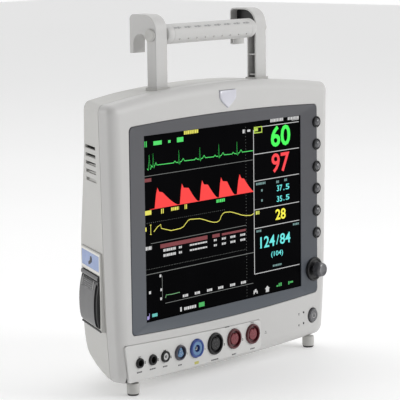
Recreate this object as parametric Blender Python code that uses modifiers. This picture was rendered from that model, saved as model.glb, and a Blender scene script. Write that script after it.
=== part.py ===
"""Patient monitor: bedside screen in a two-piece case, with connectors, paper recorder and a
hook-shaped carrying handle.  Metres, +X right, +Y back, +Z up, floor at Z = 0."""
import functools
import math

import bmesh
import bpy
from mathutils import Matrix, Vector

# ---- Driving dimensions, in metres -------------------------------------------------------------
SCREEN_W = 0.2460          # lit area of the 12.1 inch display
SCREEN_H = 0.1845
SURROUND_SIDE = 0.0238     # dark surround beside the screen
SURROUND_TOP = 0.0102
SURROUND_TOP_BOW = 0.0035
SURROUND_BOTTOM = 0.0088
SURROUND_BOTTOM_BOW = 0.0038
CHEEK = 0.0237             # housing beside the surround, at the widest height
BROW = 0.0215              # housing above the surround, at its corners
BROW_BOW = 0.0120
CHIN = 0.0475              # housing below the surround
CHIN_BOW = 0.0035
SIDE_SLOPE = 0.0257        # the case narrows downwards
SIDE_CURL = 0.57           # and curls in below the recorder's middle
CURL_Z = -0.0630
CASE_CORNER = 0.0075
BASE_CORNER = 0.0100
FRONT_ROUND = 0.0090       # soft edge of the front face
FRONT_RIM = 0.0180         # depth of the front housing, face to seam
CASE_DEPTH = 0.1040        # face to the rear cover's flat
WALL = 0.0028
SIDE_TAPER = 30.0          # degrees, rear side walls turn in by this
FOOT_CLEAR = 0.0095
WALL_LIFT = 0.0006         # side frames stand this far outside the seam
GAP = 0.0003               # between pieces that touch
GLASS_DEPTH = 0.0040       # screen window behind the face
GLASS_T = 0.0015
GLASS_LAP = 0.0040         # hidden edge of the window, display and bracket round the lit area
LCD_T = 0.0080
LCD_LAP = 0.0060
BRACKET_T = 0.0015
BRACKET_LAP = 0.0070
LOUVRE_COUNT = 5
LOUVRE_TOP = 0.0815        # above the screen's middle
LOUVRE_PITCH = 0.0080
LOUVRE_H = 0.0030
LOUVRE_START = 0.0140      # from the seam, along the tapered wall
LOUVRE_END = 0.0480

LENS_W = 0.0250            # alarm lens on the brow
LENS_H = 0.0180
LENS_ABOVE = 0.0040        # its top above the brow's corners

KEY_COUNT = 6
KEY_PITCH = 0.0239
KEY_TOP_Z = 0.0833         # above the screen's middle
KEY_FROM_SCREEN = 0.0233
KEY_CAP_R = 0.0045
KEY_COLLAR_R = 0.0060
KEY_STRIP_HALF = 0.0085
KEY_STRIP_OVER = 0.0090    # strip past the end keys

KNOB_R = 0.0078
KNOB_BASE_R = 0.01275
KNOB_REACH = 0.0120        # from the face to the knob's front
KNOB_Z = -0.0756
KNOB_FROM_SCREEN = 0.0195

POWER_R = 0.0073
POWER_X = 0.1384
POWER_Z = -0.1257
LIGHT_R = 0.0011           # two status lights
LIGHTS_X = 0.1229
LIGHTS_Z = (-0.1203, -0.1321)

ROW_Z = -0.1290            # the connectors' row
PANEL_LEFT = -0.1530
PANEL_LEAN = 0.0045        # its left edge leans out upwards
PANEL_RIGHT = 0.0500
PANEL_TOP_LEFT = -0.1095
PANEL_TOP_RIGHT = -0.1160
PANEL_CORNER = 0.0050
PANEL_PROUD = 0.0006
PORT_PROUD = 0.0030        # fittings in front of the face
PORT_BEHIND = 0.0130

ARM_X = 0.0773             # centre of each handle arm
ARM_W = 0.0170
ARM_D = 0.0120
ARM_FRONT = 0.0190         # behind the face
HANDLE_H = 0.2070          # above the screen's middle
HANDLE_TRAVEL = 0.0300
HOOK_GAP = 0.0176
HOOK_PLATE = 0.0054
HOOK_DROP = 0.0385         # from the handle's top to the hook's tip
HOOK_BRIDGE = 0.0196
ARM_EMBED = 0.0320
SLEEVE_T = 0.0013
SLEEVE_LIP = 0.0015
GRIP_R = 0.0100
GRIP_DROP = 0.0203         # grip's axis below the handle's top
GRIP_BACK = 0.0070         # and behind the arm's front

FOOT_R = 0.0064
FOOT_INBOARD = 0.0309      # front foot's axis, in from the case's widest half
FOOT_BEHIND = 0.0070       # and behind the face
REAR_FOOT_R = 0.0087
REAR_FOOT_INBOARD = 0.1085
REAR_FOOT_BEHIND = 0.0840

RECORDER_S = 0.0040        # from the seam, along the tapered wall
RECORDER_L = 0.0680
RECORDER_TOP = -0.0200     # from the screen's middle
RECORDER_H = 0.0780
ROLL_R = 0.0110
PLATEN_R = 0.0042

BATTERY_S = 0.0120
BATTERY_L = 0.0500
BATTERY_TOP = -0.0300
BATTERY_H = 0.0600

COVER_HALF = 0.0800        # rear cover
COVER_TOP = 0.0420
COVER_LOW = -0.1460
COVER_MID_Z = -0.0520
SCREW_SPACING = 0.1000     # square pattern on the rear flat
SCREW_R = 0.0020
INLET_X = 0.0500
INLET_Z = -0.1180
INLET_W = 0.0280
INLET_H = 0.0220

# ---- Derived places ----------------------------------------------------------------------------
CASE_BELOW = SCREEN_H / 2 + SURROUND_BOTTOM + CHIN + CHIN_BOW
SZ = FOOT_CLEAR + CASE_BELOW                          # the screen's middle above the floor
FACE = KNOB_REACH - (CASE_DEPTH + KNOB_REACH) / 2     # front face, centred in depth
GLASS_Y = FACE + GLASS_DEPTH                          # front of the screen window
SEAM = FACE + FRONT_RIM
BACK = FACE + CASE_DEPTH
HALF_TOP = SCREEN_W / 2 + SURROUND_SIDE + CHEEK
TOP_CORNER_Z = SCREEN_H / 2 + SURROUND_TOP + BROW
BOTTOM_CORNER_Z = -(SCREEN_H / 2 + SURROUND_BOTTOM + CHIN)
KEY_X = SCREEN_W / 2 + KEY_FROM_SCREEN
KNOB_X = SCREEN_W / 2 + KNOB_FROM_SCREEN
ARM_Y0 = FACE + ARM_FRONT
ARM_Y1 = ARM_Y0 + ARM_D
TAPER = math.tan(math.radians(SIDE_TAPER))

NAME = "patient_monitor"


# ---- Scene, materials and small helpers --------------------------------------------------------
for old in list(bpy.data.objects):
    bpy.data.objects.remove(old, do_unlink=True)
parts = bpy.data.collections.new(NAME)
cutters = bpy.data.collections.new("cutters")
bpy.context.scene.collection.children.link(parts)
bpy.context.scene.collection.children.link(cutters)
materials = {}


def material(name, colour, roughness=0.5, metallic=0.0):
    """A Principled material, made once for each finish."""
    if name not in materials:
        made = bpy.data.materials.new(name)
        made.use_nodes = True
        shader = made.node_tree.nodes["Principled BSDF"]
        shader.inputs["Base Color"].default_value = (*colour, 1.0)
        shader.inputs["Roughness"].default_value = roughness
        shader.inputs["Metallic"].default_value = metallic
        materials[name] = made
    return materials[name]


SHELL = material("light_grey_shell", (0.62, 0.61, 0.59), 0.45)
PANEL = material("pale_panel", (0.70, 0.69, 0.67), 0.45)
DARK = material("dark_surround", (0.06, 0.065, 0.08), 0.40)
BLACK = material("black_plastic", (0.015, 0.015, 0.017), 0.45)
CAP = material("grey_cap", (0.16, 0.16, 0.18), 0.25)
GLASS = material("screen_glass", (0.02, 0.02, 0.025), 0.08)
RUBBER = material("rubber", (0.03, 0.03, 0.03), 0.80)
STEEL = material("steel", (0.55, 0.56, 0.58), 0.35, 1.0)
BOARD = material("circuit_board", (0.03, 0.16, 0.07), 0.50)
BLUE = material("blue_fitting", (0.08, 0.22, 0.55), 0.35)
RED = material("dark_red_fitting", (0.20, 0.01, 0.02), 0.35)
GREY = material("grey_fitting", (0.10, 0.10, 0.13), 0.35)
LENS = material("alarm_lens", (0.80, 0.78, 0.86), 0.20)
DOOR = material("recorder_door_grey", (0.18, 0.18, 0.19), 0.40)
PAPER = material("paper", (0.85, 0.84, 0.80), 0.90)


def adopt(obj, finish, cutter=False):
    """Put an object in its collection, with its finish."""
    for home in list(obj.users_collection):
        home.objects.unlink(obj)
    (cutters if cutter else parts).objects.link(obj)
    obj.data.materials.clear()
    if cutter:
        obj.hide_render = True
        obj.display_type = "WIRE"
    else:
        obj.data.materials.append(finish)
    return obj


def place(obj, origin):
    """Move an object's origin to a point without moving its shape."""
    obj.data.transform(Matrix.Translation(-Vector(origin)))
    obj.location = origin
    return obj


def box(name, low, high, finish=None, round_edge=0.0):
    """A box from corner to corner; without a finish it is a cutter."""
    low, high = Vector(low), Vector(high)
    bm = bmesh.new()
    bmesh.ops.create_cube(bm, size=1.0)
    bmesh.ops.scale(bm, vec=high - low, verts=bm.verts)
    mesh = bpy.data.meshes.new(name)
    bm.to_mesh(mesh)
    bm.free()
    mesh.transform(Matrix.Translation((low + high) / 2))
    obj = adopt(bpy.data.objects.new(name, mesh), finish, finish is None)
    if round_edge:
        bevel(obj, round_edge)
    return obj


def bevel(obj, width, segments=2, limit="ANGLE", angle=35.0):
    step = obj.modifiers.new("rounded", "BEVEL")
    step.width = width
    step.segments = segments
    step.limit_method = limit
    step.angle_limit = math.radians(angle)
    return step


TURN = {"X": Matrix(((0, 0, 1, 0), (1, 0, 0, 0), (0, 1, 0, 0), (0, 0, 0, 1))),
        "Y": Matrix(((1, 0, 0, 0), (0, 0, -1, 0), (0, 1, 0, 0), (0, 0, 0, 1))),
        "Z": Matrix.Identity(4)}


def slab(name, outline, low, high, across="Y", finish=None, dense=False):
    """A flat outline, extruded across one axis.  Outline points are (x, z) across Y,
    (y, z) across X and (x, y) across Z."""
    curve = bpy.data.curves.new(name, "CURVE")
    curve.dimensions = "2D"
    curve.fill_mode = "BOTH"
    curve.extrude = (high - low) / 2
    spline = curve.splines.new("POLY")
    spline.points.add(len(outline) - 1)
    for point, (u, v) in zip(spline.points, outline):
        point.co = (u, v, 0.0, 1.0)
    spline.use_cyclic_u = True
    holder = bpy.data.objects.new(name + "_curve", curve)
    cutters.objects.link(holder)
    graph = bpy.context.evaluated_depsgraph_get()
    mesh = bpy.data.meshes.new_from_object(holder.evaluated_get(graph))
    bpy.data.objects.remove(holder, do_unlink=True)
    mesh.name = name
    bm = bmesh.new()
    bm.from_mesh(mesh)
    bmesh.ops.remove_doubles(bm, verts=bm.verts, dist=0.00002)
    bmesh.ops.dissolve_limit(bm, angle_limit=0.001, verts=bm.verts, edges=bm.edges)
    bmesh.ops.recalc_face_normals(bm, faces=bm.faces)
    bm.to_mesh(mesh)
    bm.free()
    middle = (low + high) / 2
    shift = {"X": (middle, 0, 0), "Y": (0, middle, 0), "Z": (0, 0, middle)}[across]
    mesh.transform(Matrix.Translation(shift) @ TURN[across])
    return adopt(bpy.data.objects.new(name, mesh), finish, finish is None)


def turned(name, profile, origin, axis=(0, 0, 1), finish=None, steps=24, ring=False):
    """A turned piece: (radius, height) points from the top down, along an axis from an origin."""
    mesh = bpy.data.meshes.new(name)
    edges = [(i, i + 1) for i in range(len(profile) - 1)]
    if ring:
        edges.append((len(profile) - 1, 0))
    mesh.from_pydata([(r, 0.0, h) for r, h in profile], edges, [])
    obj = adopt(bpy.data.objects.new(name, mesh), finish, finish is None)
    screw = obj.modifiers.new("turned", "SCREW")
    screw.steps = steps
    screw.render_steps = steps
    screw.use_merge_vertices = True
    screw.merge_threshold = 0.00001
    screw.use_normal_calculate = False
    obj.rotation_euler = Vector(axis).to_track_quat("Z", "Y").to_euler()
    obj.location = origin
    return obj


def shape(obj, other, operation="DIFFERENCE", solver="EXACT"):
    """A Boolean that keeps its second object as a hidden cutter.  The thin shells with many cuts
    take the MANIFOLD solver, because EXACT loses them."""
    step = obj.modifiers.new(operation.lower(), "BOOLEAN")
    step.operation = operation
    step.object = other
    step.solver = solver
    return obj


def arc(centre, radius, start, stop, count):
    """Points on an arc, angles in degrees."""
    out = []
    for i in range(count + 1):
        turn = math.radians(start + (stop - start) * i / count)
        out.append((centre[0] + radius * math.cos(turn), centre[1] + radius * math.sin(turn)))
    return out


def rounded(low, high, radius, count=3):
    """A rectangle with round corners."""
    corners = [(high[0] - radius, high[1] - radius, 0), (low[0] + radius, high[1] - radius, 90),
               (low[0] + radius, low[1] + radius, 180), (high[0] - radius, low[1] + radius, 270)]
    return [p for x, z, turn in corners for p in arc((x, z), radius, turn, turn + 90, count)]


# ---- The case's outline ------------------------------------------------------------------------
def case_half(z):
    """Half width of the case at a height above the screen's middle."""
    curl = max(0.0, CURL_Z - z)
    return HALF_TOP - SIDE_SLOPE * (TOP_CORNER_Z - z) - SIDE_CURL * curl * curl


def case_outline(inset=0.0):
    """The case from the front: bowed brow and chin, sides that lean in downwards."""
    half = HALF_TOP - CASE_CORNER
    points = []
    for i in range(15):
        x = half * (1 - 2 * i / 14)
        points.append((x, TOP_CORNER_Z + BROW_BOW * (1 - (x / half) ** 2)))
    points = [(x, z - inset) for x, z in points]
    top = TOP_CORNER_Z - CASE_CORNER
    bottom = BOTTOM_CORNER_Z + BASE_CORNER
    left = [(-half - (CASE_CORNER - inset) * math.sin(a), top + (CASE_CORNER - inset) * math.cos(a))
            for a in (math.radians(30), math.radians(60))]
    for i in range(8):
        z = top + (bottom - top) * i / 7
        left.append((-case_half(z) + inset, z))
    base = case_half(bottom) - BASE_CORNER
    radius = BASE_CORNER - inset
    left += [(-base - radius * math.cos(a), bottom - radius * math.sin(a))
             for a in (math.radians(30), math.radians(60))]
    floor = []
    for i in range(9):
        x = -base * (1 - 2 * i / 8)
        floor.append((x, BOTTOM_CORNER_Z - CHIN_BOW * (1 - (x / base) ** 2) + inset))
    right = [(-x, z) for x, z in reversed(left)]
    return [(x, SZ + z) for x, z in points + left + floor + right]


def surround_outline(grow=0.0):
    """The dark surround, a little bowed above and below."""
    x0 = SCREEN_W / 2 + SURROUND_SIDE + grow
    z1 = SCREEN_H / 2 + SURROUND_TOP
    z0 = SCREEN_H / 2 + SURROUND_BOTTOM
    points = []
    for i in range(11):
        x = x0 * (1 - 2 * i / 10)
        points.append((x, SZ + z1 + SURROUND_TOP_BOW * (1 - (x / x0) ** 2) + grow))
    for i in range(11):
        x = -x0 * (1 - 2 * i / 10)
        points.append((x, SZ - z0 - SURROUND_BOTTOM_BOW * (1 - (x / x0) ** 2) - grow))
    return points


def tapered(name, inset, y0, y1, finish=None):
    """The rear housing's plan: the outline, narrowing behind the seam."""
    obj = slab(name, case_outline(inset), y0, y1, "Y", finish)
    for v in obj.data.vertices:
        if v.co.y > (y0 + y1) / 2:
            v.co.x *= (HALF_TOP - inset - (y1 - SEAM) * TAPER) / (HALF_TOP - inset)
        else:
            v.co.x *= (HALF_TOP - inset - (y0 - SEAM) * TAPER) / (HALF_TOP - inset)
    return obj


def rear_profile(inset=0.0):
    """The rear housing from the side, as (y, z), ahead of the seam so it can be cut flush."""
    top = SZ + TOP_CORNER_Z + BROW_BOW + 0.001 - inset
    below = SZ - CASE_BELOW - 0.005 + inset
    depth = [(0.054, TOP_CORNER_Z + 0.011 - inset), (0.061, TOP_CORNER_Z - inset), (0.065, 0.076),
             (0.076, 0.025), (0.086, -0.027), (0.086, -0.077), (0.085, -0.105),
             (0.083, -0.1205 + inset), (0.074, -0.1315 + inset), (0.055, -0.1385 + inset),
             (0.034, -0.1435 + inset)]
    points = [(SEAM - 0.025, top), (FACE + 0.046, top)]
    points += [(FACE + y - inset * (y > 0.056), SZ + z) for y, z in depth]
    return points + [(FACE + 0.0275 - inset, below), (SEAM - 0.025, below)]


# ---- Frames on the tapered side walls: X along the wall, Y outwards, Z up -----------------------
def wall_frame(name, side, height):
    """An empty on a side wall at the seam.  side is -1 left and +1 right."""
    empty = bpy.data.objects.new(name, None)
    cutters.objects.link(empty)
    empty.location = (side * (case_half(height) + WALL_LIFT), SEAM, SZ)
    empty.rotation_euler = (0, 0, math.radians(90 - SIDE_TAPER if side < 0 else SIDE_TAPER - 90))
    return empty


def on(empty, *objects):
    for obj in objects:
        obj.parent = empty
    return objects[0]


left_wall = wall_frame("left_wall", -1, RECORDER_TOP - RECORDER_H / 2)
right_wall = wall_frame("right_wall", 1, BATTERY_TOP - BATTERY_H / 2)


# ---- Case shells -------------------------------------------------------------------------------
def soften_front(obj, face, radius):
    """Rounds the edges around a slab's front face only."""
    bm = bmesh.new()
    bm.from_mesh(obj.data)
    weight = bm.edges.layers.float.new("bevel_weight_edge")
    for edge in bm.edges:
        flat = all(v.co.y < face + 0.0001 for v in edge.verts)
        turn = len({f.normal.y < -0.9 for f in edge.link_faces}) == 2
        edge[weight] = 1.0 if flat and turn else 0.0
    bm.to_mesh(obj.data)
    bm.free()
    bevel(obj, radius, 4, "WEIGHT")
    return obj


def front_housing():
    obj = slab("front_housing", case_outline(), FACE, SEAM - GAP / 2, "Y", SHELL)
    soften_front(obj, FACE, FRONT_ROUND)
    void = slab("front_void", case_outline(WALL), FACE + WALL, SEAM + 0.01, "Y")
    cut = functools.partial(shape, obj, solver="MANIFOLD")
    cut(soften_front(void, FACE + WALL, FRONT_ROUND - WALL))
    cut(slab("window_cut", surround_outline(GAP), FACE - 0.01, FACE + 0.01))
    for cutter in front_holes():
        cut(cutter)
    return obj


def key_z(index):
    return SZ + KEY_TOP_Z - index * KEY_PITCH


def front_holes():
    """Everything that passes through the front face."""
    holes = []
    for i in range(KEY_COUNT):
        holes.append(turned("key_hole_%d" % (i + 1), rod(KEY_COLLAR_R + GAP, 0.01), (KEY_X, FACE, key_z(i)),
                            (0, -1, 0)))
    holes.append(turned("knob_hole", rod(KNOB_BASE_R + GAP, 0.01), (KNOB_X, FACE, SZ + KNOB_Z), (0, -1, 0)))
    holes.append(turned("power_hole", rod(POWER_R + GAP, 0.01), (POWER_X, FACE, SZ + POWER_Z), (0, -1, 0)))
    for i, z in enumerate(LIGHTS_Z):
        holes.append(turned("light_hole_%d" % i, rod(LIGHT_R + GAP, 0.01), (LIGHTS_X, FACE, SZ + z),
                            (0, -1, 0), steps=12))
    holes.append(slab("panel_cut", panel_outline(GAP), FACE - 0.01, FACE + 0.01))
    holes.append(slab("lens_cut", lens_outline(GAP), FACE - 0.01, FACE + 0.01))
    holes += sleeve_cuts("front")
    return holes


def rod(radius, half):
    return [(0, half), (radius, half), (radius, -half), (0, -half)]


def rear_housing():
    obj = tapered("rear_housing", 0.0, SEAM - 0.012, FACE + 0.100, SHELL)
    shape(obj, slab("rear_side_view", rear_profile(), -0.3, 0.3, "X"), "INTERSECT")
    bevel(obj, 0.0035, 2)
    void = tapered("rear_void", WALL, SEAM - 0.014, FACE + 0.1005)
    shape(void, slab("rear_void_side_view", rear_profile(WALL), -0.3, 0.3, "X"), "INTERSECT")
    cut = functools.partial(shape, obj, solver="MANIFOLD")
    cut(void)
    cut(box("seam_cut", (-0.3, FACE - 0.05, -0.1), (0.3, SEAM + GAP / 2, 0.6)))
    cut(slab("cover_cut", cover_profile(-GAP), -COVER_HALF - GAP, COVER_HALF + GAP, "X"))
    window = box("recorder_cut", (RECORDER_S, -0.02, RECORDER_TOP - RECORDER_H),
                 (RECORDER_S + RECORDER_L, 0.02, RECORDER_TOP))
    cut(on(left_wall, window))
    bay = box("battery_cut", (-BATTERY_S - BATTERY_L, -0.02, BATTERY_TOP - BATTERY_H),
              (-BATTERY_S, 0.02, BATTERY_TOP))
    cut(on(right_wall, bay))
    for i in range(LOUVRE_COUNT):
        z0 = LOUVRE_TOP - LOUVRE_PITCH * i - LOUVRE_H / 2
        for wall, sign in ((left_wall, 1), (right_wall, -1)):
            low, high = sorted((sign * LOUVRE_START, sign * LOUVRE_END))
            slot = box("louvre_cut_%d_%d" % (i, sign), (low, -0.03, z0), (high, 0.03, z0 + LOUVRE_H))
            cut(on(wall, slot))
    for cutter in sleeve_cuts("rear"):
        cut(cutter)
    return obj


def cover_profile(inset=0.0):
    """The rear cover from the side, as (y, z)."""
    top, low = SZ + COVER_TOP, SZ + COVER_LOW + inset
    front, nose = FACE + 0.062 + inset, FACE + 0.048 + inset
    return [(front, top - inset), (BACK - 0.008 - inset, top - 0.005 - inset), (BACK - inset, top - 0.014),
            (BACK - inset, low - inset + 0.007), (BACK - 0.007, low), (FACE + 0.062, low),
            (nose, low + 0.010), (nose, low + 0.027 - 2 * inset), (front, low + 0.027 - 2 * inset)]


def rear_cover():
    obj = slab("rear_cover", cover_profile(), -COVER_HALF, COVER_HALF, "X", SHELL)
    top, low = SZ + COVER_TOP - WALL, SZ + COVER_LOW + WALL
    ahead, nose, back = FACE + 0.050, FACE + 0.048 + WALL, BACK - WALL
    void = [(ahead, top), (BACK - 0.009, top - 0.005), (back, top - 0.012), (back, low + 0.005),
            (BACK - 0.008, low), (FACE + 0.063, low), (nose, low + 0.008), (nose, low + 0.033),
            (ahead, low + 0.033)]
    shape(obj, slab("cover_void", void, -COVER_HALF + WALL, COVER_HALF - WALL, "X"))
    shape(obj, box("inlet_cut", (INLET_X - INLET_W / 2, BACK - 0.01, SZ + INLET_Z - INLET_H / 2),
                   (INLET_X + INLET_W / 2, BACK + 0.01, SZ + INLET_Z + INLET_H / 2)))
    for i, (x, z) in enumerate(screw_places()):
        shape(obj, turned("screw_hole_%d" % i, rod(SCREW_R + GAP, 0.01), (x, BACK, z), (0, 1, 0), steps=12))
    return obj


def screw_places():
    half = SCREW_SPACING / 2
    return [(sx * half, SZ + COVER_MID_Z + sz * half) for sx in (-1, 1) for sz in (-1, 1)]


# ---- Front face: surround, screen, keys, knob, lights ------------------------------------------
def screen_surround():
    obj = slab("screen_surround", surround_outline(), FACE - 0.0005, GLASS_Y - GAP, "Y", DARK)
    window = slab("screen_window_cut", rounded((-SCREEN_W / 2, SZ - SCREEN_H / 2),
                                               (SCREEN_W / 2, SZ + SCREEN_H / 2), 0.001, 1),
                  FACE - 0.002, GLASS_Y + 0.002, "Y")
    for v in window.data.vertices:
        if v.co.y < FACE:
            v.co.x += math.copysign(0.0060, v.co.x)
            v.co.z += math.copysign(0.0060, v.co.z - SZ)
    shape(obj, window)
    for i in range(KEY_COUNT):
        shape(obj, turned("surround_key_hole_%d" % (i + 1), rod(KEY_COLLAR_R + GAP, 0.01),
                          (KEY_X, FACE, key_z(i)), (0, -1, 0)))
    shape(obj, turned("surround_knob_hole", rod(KNOB_BASE_R + GAP, 0.01), (KNOB_X, FACE, SZ + KNOB_Z),
                      (0, -1, 0)))
    return obj


def screen():
    def sheet(name, lap, y, thick, finish, edge=0.0):
        """A flat piece behind the surround, larger than the lit area by its lap."""
        x, z = SCREEN_W / 2 + lap, SCREEN_H / 2 + lap
        return box(name, (-x, y, SZ - z), (x, y + thick, SZ + z), finish, edge)

    sheet("screen_glass", GLASS_LAP, GLASS_Y, GLASS_T, GLASS)
    y = GLASS_Y + GLASS_T + GAP
    sheet("lcd_panel", LCD_LAP, y, LCD_T, BLACK, 0.0008)
    y += LCD_T + GAP
    plate = sheet("lcd_bracket", BRACKET_LAP, y, BRACKET_T, STEEL)
    for i, (sx, sz) in enumerate(((-1, -1), (1, -1), (-1, 1), (1, 1))):
        slot = rounded((sx * 0.070 - 0.035, SZ + sz * 0.045 - 0.018),
                       (sx * 0.070 + 0.035, SZ + sz * 0.045 + 0.018), 0.006)
        shape(plate, slab("bracket_window_%d" % i, slot, y - 0.002, y + 0.004))


def keys():
    """Six soft keys in one black strip of collars."""
    back = GLASS_Y + GAP
    low, high = key_z(KEY_COUNT - 1) - KEY_STRIP_OVER, key_z(0) + KEY_STRIP_OVER
    outline = rounded((KEY_X - KEY_STRIP_HALF, low), (KEY_X + KEY_STRIP_HALF, high), 0.003)
    strip = slab("menu_key_strip", outline, back, back + 0.0018, "Y", BLACK)
    collar = [(0, 0.0016), (KEY_COLLAR_R, 0.0016), (KEY_COLLAR_R, -0.0050), (0, -0.0050)]
    for i in range(KEY_COUNT):
        spot = (KEY_X, FACE, key_z(i))
        shape(strip, turned("collar_%d" % (i + 1), collar, spot, (0, -1, 0)), "UNION", "MANIFOLD")
    for i in range(KEY_COUNT):
        spot = (KEY_X, FACE, key_z(i))
        bore = turned("key_bore_%d" % (i + 1), rod(KEY_CAP_R + GAP, 0.02), spot, (0, -1, 0))
        shape(strip, bore, solver="MANIFOLD")
        cap = [(0, 0.0034), (0.0022, 0.0031), (0.0038, 0.0022), (KEY_CAP_R, 0.0010), (KEY_CAP_R, -0.0075),
               (0.0055, -0.0075), (0.0055, -0.0090), (0, -0.0090)]
        turned("menu_button_%d" % (i + 1), cap, spot, (0, -1, 0), CAP)


def knob():
    spot = (KNOB_X, FACE, SZ + KNOB_Z)
    ring = [(0.0042, 0.0015), (KNOB_BASE_R - 0.0015, 0.0015), (KNOB_BASE_R, 0.0005), (KNOB_BASE_R, -0.0035),
            (0.0042, -0.0035)]
    turned("knob_base", ring, spot, (0, -1, 0), BLACK, 28, ring=True)
    shaft = [(0, 0.0085), (0.0030, 0.0085), (0.0030, -0.0170), (0.0055, -0.0170), (0.0055, -0.0200),
             (0, -0.0200)]
    turned("encoder_shaft", shaft, spot, (0, -1, 0), STEEL, 20)
    cap = [(0, KNOB_REACH), (KNOB_R - 0.0020, KNOB_REACH), (KNOB_R - 0.0004, KNOB_REACH - 0.0012),
           (KNOB_R, 0.0030), (0.0030 + GAP, 0.0030), (0.0030 + GAP, 0.0085 + GAP), (0, 0.0085 + GAP)]
    turned("knob", cap, spot, (0, -1, 0), CAP, 28)
    body = [(0.0030 + GAP, -0.0050), (0.0095, -0.0050), (0.0095, -0.0160), (0.0030 + GAP, -0.0160)]
    turned("encoder_body", body, spot, (0, -1, 0), BLACK, 20, ring=True)


def power_and_lights():
    cap = [(0, 0.0022), (POWER_R - 0.0012, 0.0020), (POWER_R, 0.0008), (POWER_R, -0.0060),
           (POWER_R + 0.0012, -0.0060), (POWER_R + 0.0012, -0.0080), (0, -0.0080)]
    turned("power_button", cap, (POWER_X, FACE, SZ + POWER_Z), (0, -1, 0), CAP, 28)
    pipe = box("status_light", (LIGHTS_X - 0.0022, FACE + WALL + GAP, SZ + LIGHTS_Z[1] - 0.0025),
               (LIGHTS_X + 0.0022, FACE + WALL + 0.0030, SZ + LIGHTS_Z[0] + 0.0025), LENS)
    for i, z in enumerate(LIGHTS_Z):
        pin = turned("light_pin_%d" % i, [(0, 0.0004), (LIGHT_R, 0.0004), (LIGHT_R, -0.0045), (0, -0.0045)],
                     (LIGHTS_X, FACE, SZ + z), (0, -1, 0), steps=12)
        shape(pipe, pin, "UNION")


def lens_outline(grow=0.0):
    """A shield: flat top, straight sides and a blunt pointed foot."""
    half = LENS_W / 2 + grow
    top = SZ + TOP_CORNER_Z + LENS_ABOVE + grow
    low = top - LENS_H - 3 * grow
    right = [(half, top), (half, low + 0.0085), (half - 0.0017, low + 0.0052), (0.0058 + grow, low + 0.0013)]
    return [(-x, z) for x, z in right] + [(0.0, low)] + right[::-1]


def alarm_lens():
    return slab("alarm_lens", lens_outline(), FACE - 0.0020, FACE + 0.0040, "Y", LENS)


# ---- Connector panel ---------------------------------------------------------------------------
CONNECTORS = (            # name, x, radius, finish, bore radius
    ("temperature_jack_1", -0.1379, 0.00500, BLACK, 0.0032),
    ("temperature_jack_2", -0.1191, 0.00535, BLACK, 0.0032),
    ("output_port", -0.1007, 0.00575, BLACK, 0.0018),
    ("oxygen_port", -0.0783, 0.00775, GREY, 0.0),
    ("cuff_air_port", -0.0533, 0.00975, BLUE, 0.0035),
    ("ecg_port", -0.0247, 0.01125, BLACK, 0.0),
    ("pressure_port_1", 0.0054, 0.01050, RED, 0.0),
    ("pressure_port_2", 0.0353, 0.01050, RED, 0.0),
)


def panel_outline(grow=0.0):
    """The connector panel: its top edge falls to the right and its left edge leans out upwards."""
    x0, x1, low = PANEL_LEFT - grow, PANEL_RIGHT + grow, SZ + BOTTOM_CORNER_Z + 0.0015 - grow
    start, end = x1 - PANEL_CORNER, x0 - PANEL_LEAN + PANEL_CORNER
    rise = PANEL_TOP_LEFT - PANEL_TOP_RIGHT
    points = []
    for i in range(9):
        share = i / 8
        points.append((start + (end - start) * share, SZ + PANEL_TOP_RIGHT + rise * share ** 1.5 + grow))
    return ([(x1, SZ + PANEL_TOP_RIGHT - PANEL_CORNER)] + points
            + [(x0 - PANEL_LEAN, SZ + PANEL_TOP_LEFT - PANEL_CORNER), (x0, low + 0.002), (x0 + 0.002, low),
               (x1 - PANEL_CORNER, low), (x1, low + PANEL_CORNER)])


def connector_panel():
    obj = slab("connector_panel", panel_outline(), FACE - PANEL_PROUD, FACE + WALL - 0.0004, "Y", PANEL)
    for name, x, radius, finish, bore in CONNECTORS:
        spot = (x, FACE, SZ + ROW_Z)
        shape(obj, turned(name + "_hole", rod(radius + GAP, 0.01), spot, (0, -1, 0)))
        front = PORT_PROUD
        profile = [(radius - 0.0012, front), (radius - 0.0003, front - 0.0004), (radius, front - 0.0015),
                   (radius, -PORT_BEHIND), (0, -PORT_BEHIND)]
        if bore:
            mouth = [(0, -0.0060), (bore, -0.0060), (bore, front - 0.0006), (bore + 0.0008, front)]
            profile = mouth + profile
        else:
            profile = [(0, front - 0.0035), (radius - 0.0022, front - 0.0035),
                       (radius - 0.0020, front)] + profile
        turned(name, profile, spot, (0, -1, 0), finish)


# ---- Handle ------------------------------------------------------------------------------------
def hook_outline(inset=0.0):
    """One arm from the side, as (y, z): a post, a rounded top and a hook behind."""
    top = SZ + HANDLE_H
    y0, y1 = ARM_Y0 + inset, ARM_Y1 - inset
    y2, y3 = ARM_Y1 + HOOK_GAP + inset, ARM_Y1 + HOOK_GAP + HOOK_PLATE - inset
    tip, foot = top - HOOK_DROP + inset, arm_foot() + inset
    arch = HOOK_GAP / 2 + inset
    spring = top - HOOK_BRIDGE - HOOK_GAP / 2
    middle = (y1 + y2) / 2
    front_r, back_r = 0.0160 - inset, 0.0050 - inset
    points = [(y0, foot)] + arc((y0 + front_r, top - inset - front_r), front_r, 180, 90, 5)
    points += arc((y3 - back_r, top - inset - back_r), back_r, 90, 0, 3)
    points += [(y3, tip), (y2, tip), (y2, spring)]
    points += arc((middle, spring), arch, 0, 180, 8)[1:-1]
    points += [(y1, spring), (y1, foot)]
    return list(reversed(points))


def case_top(x):
    """Height of the case's top above the floor at a place across it."""
    half = HALF_TOP - CASE_CORNER
    return SZ + TOP_CORNER_Z + BROW_BOW * (1 - (x / half) ** 2)


def arm_foot():
    return case_top(ARM_X) - ARM_EMBED


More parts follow.
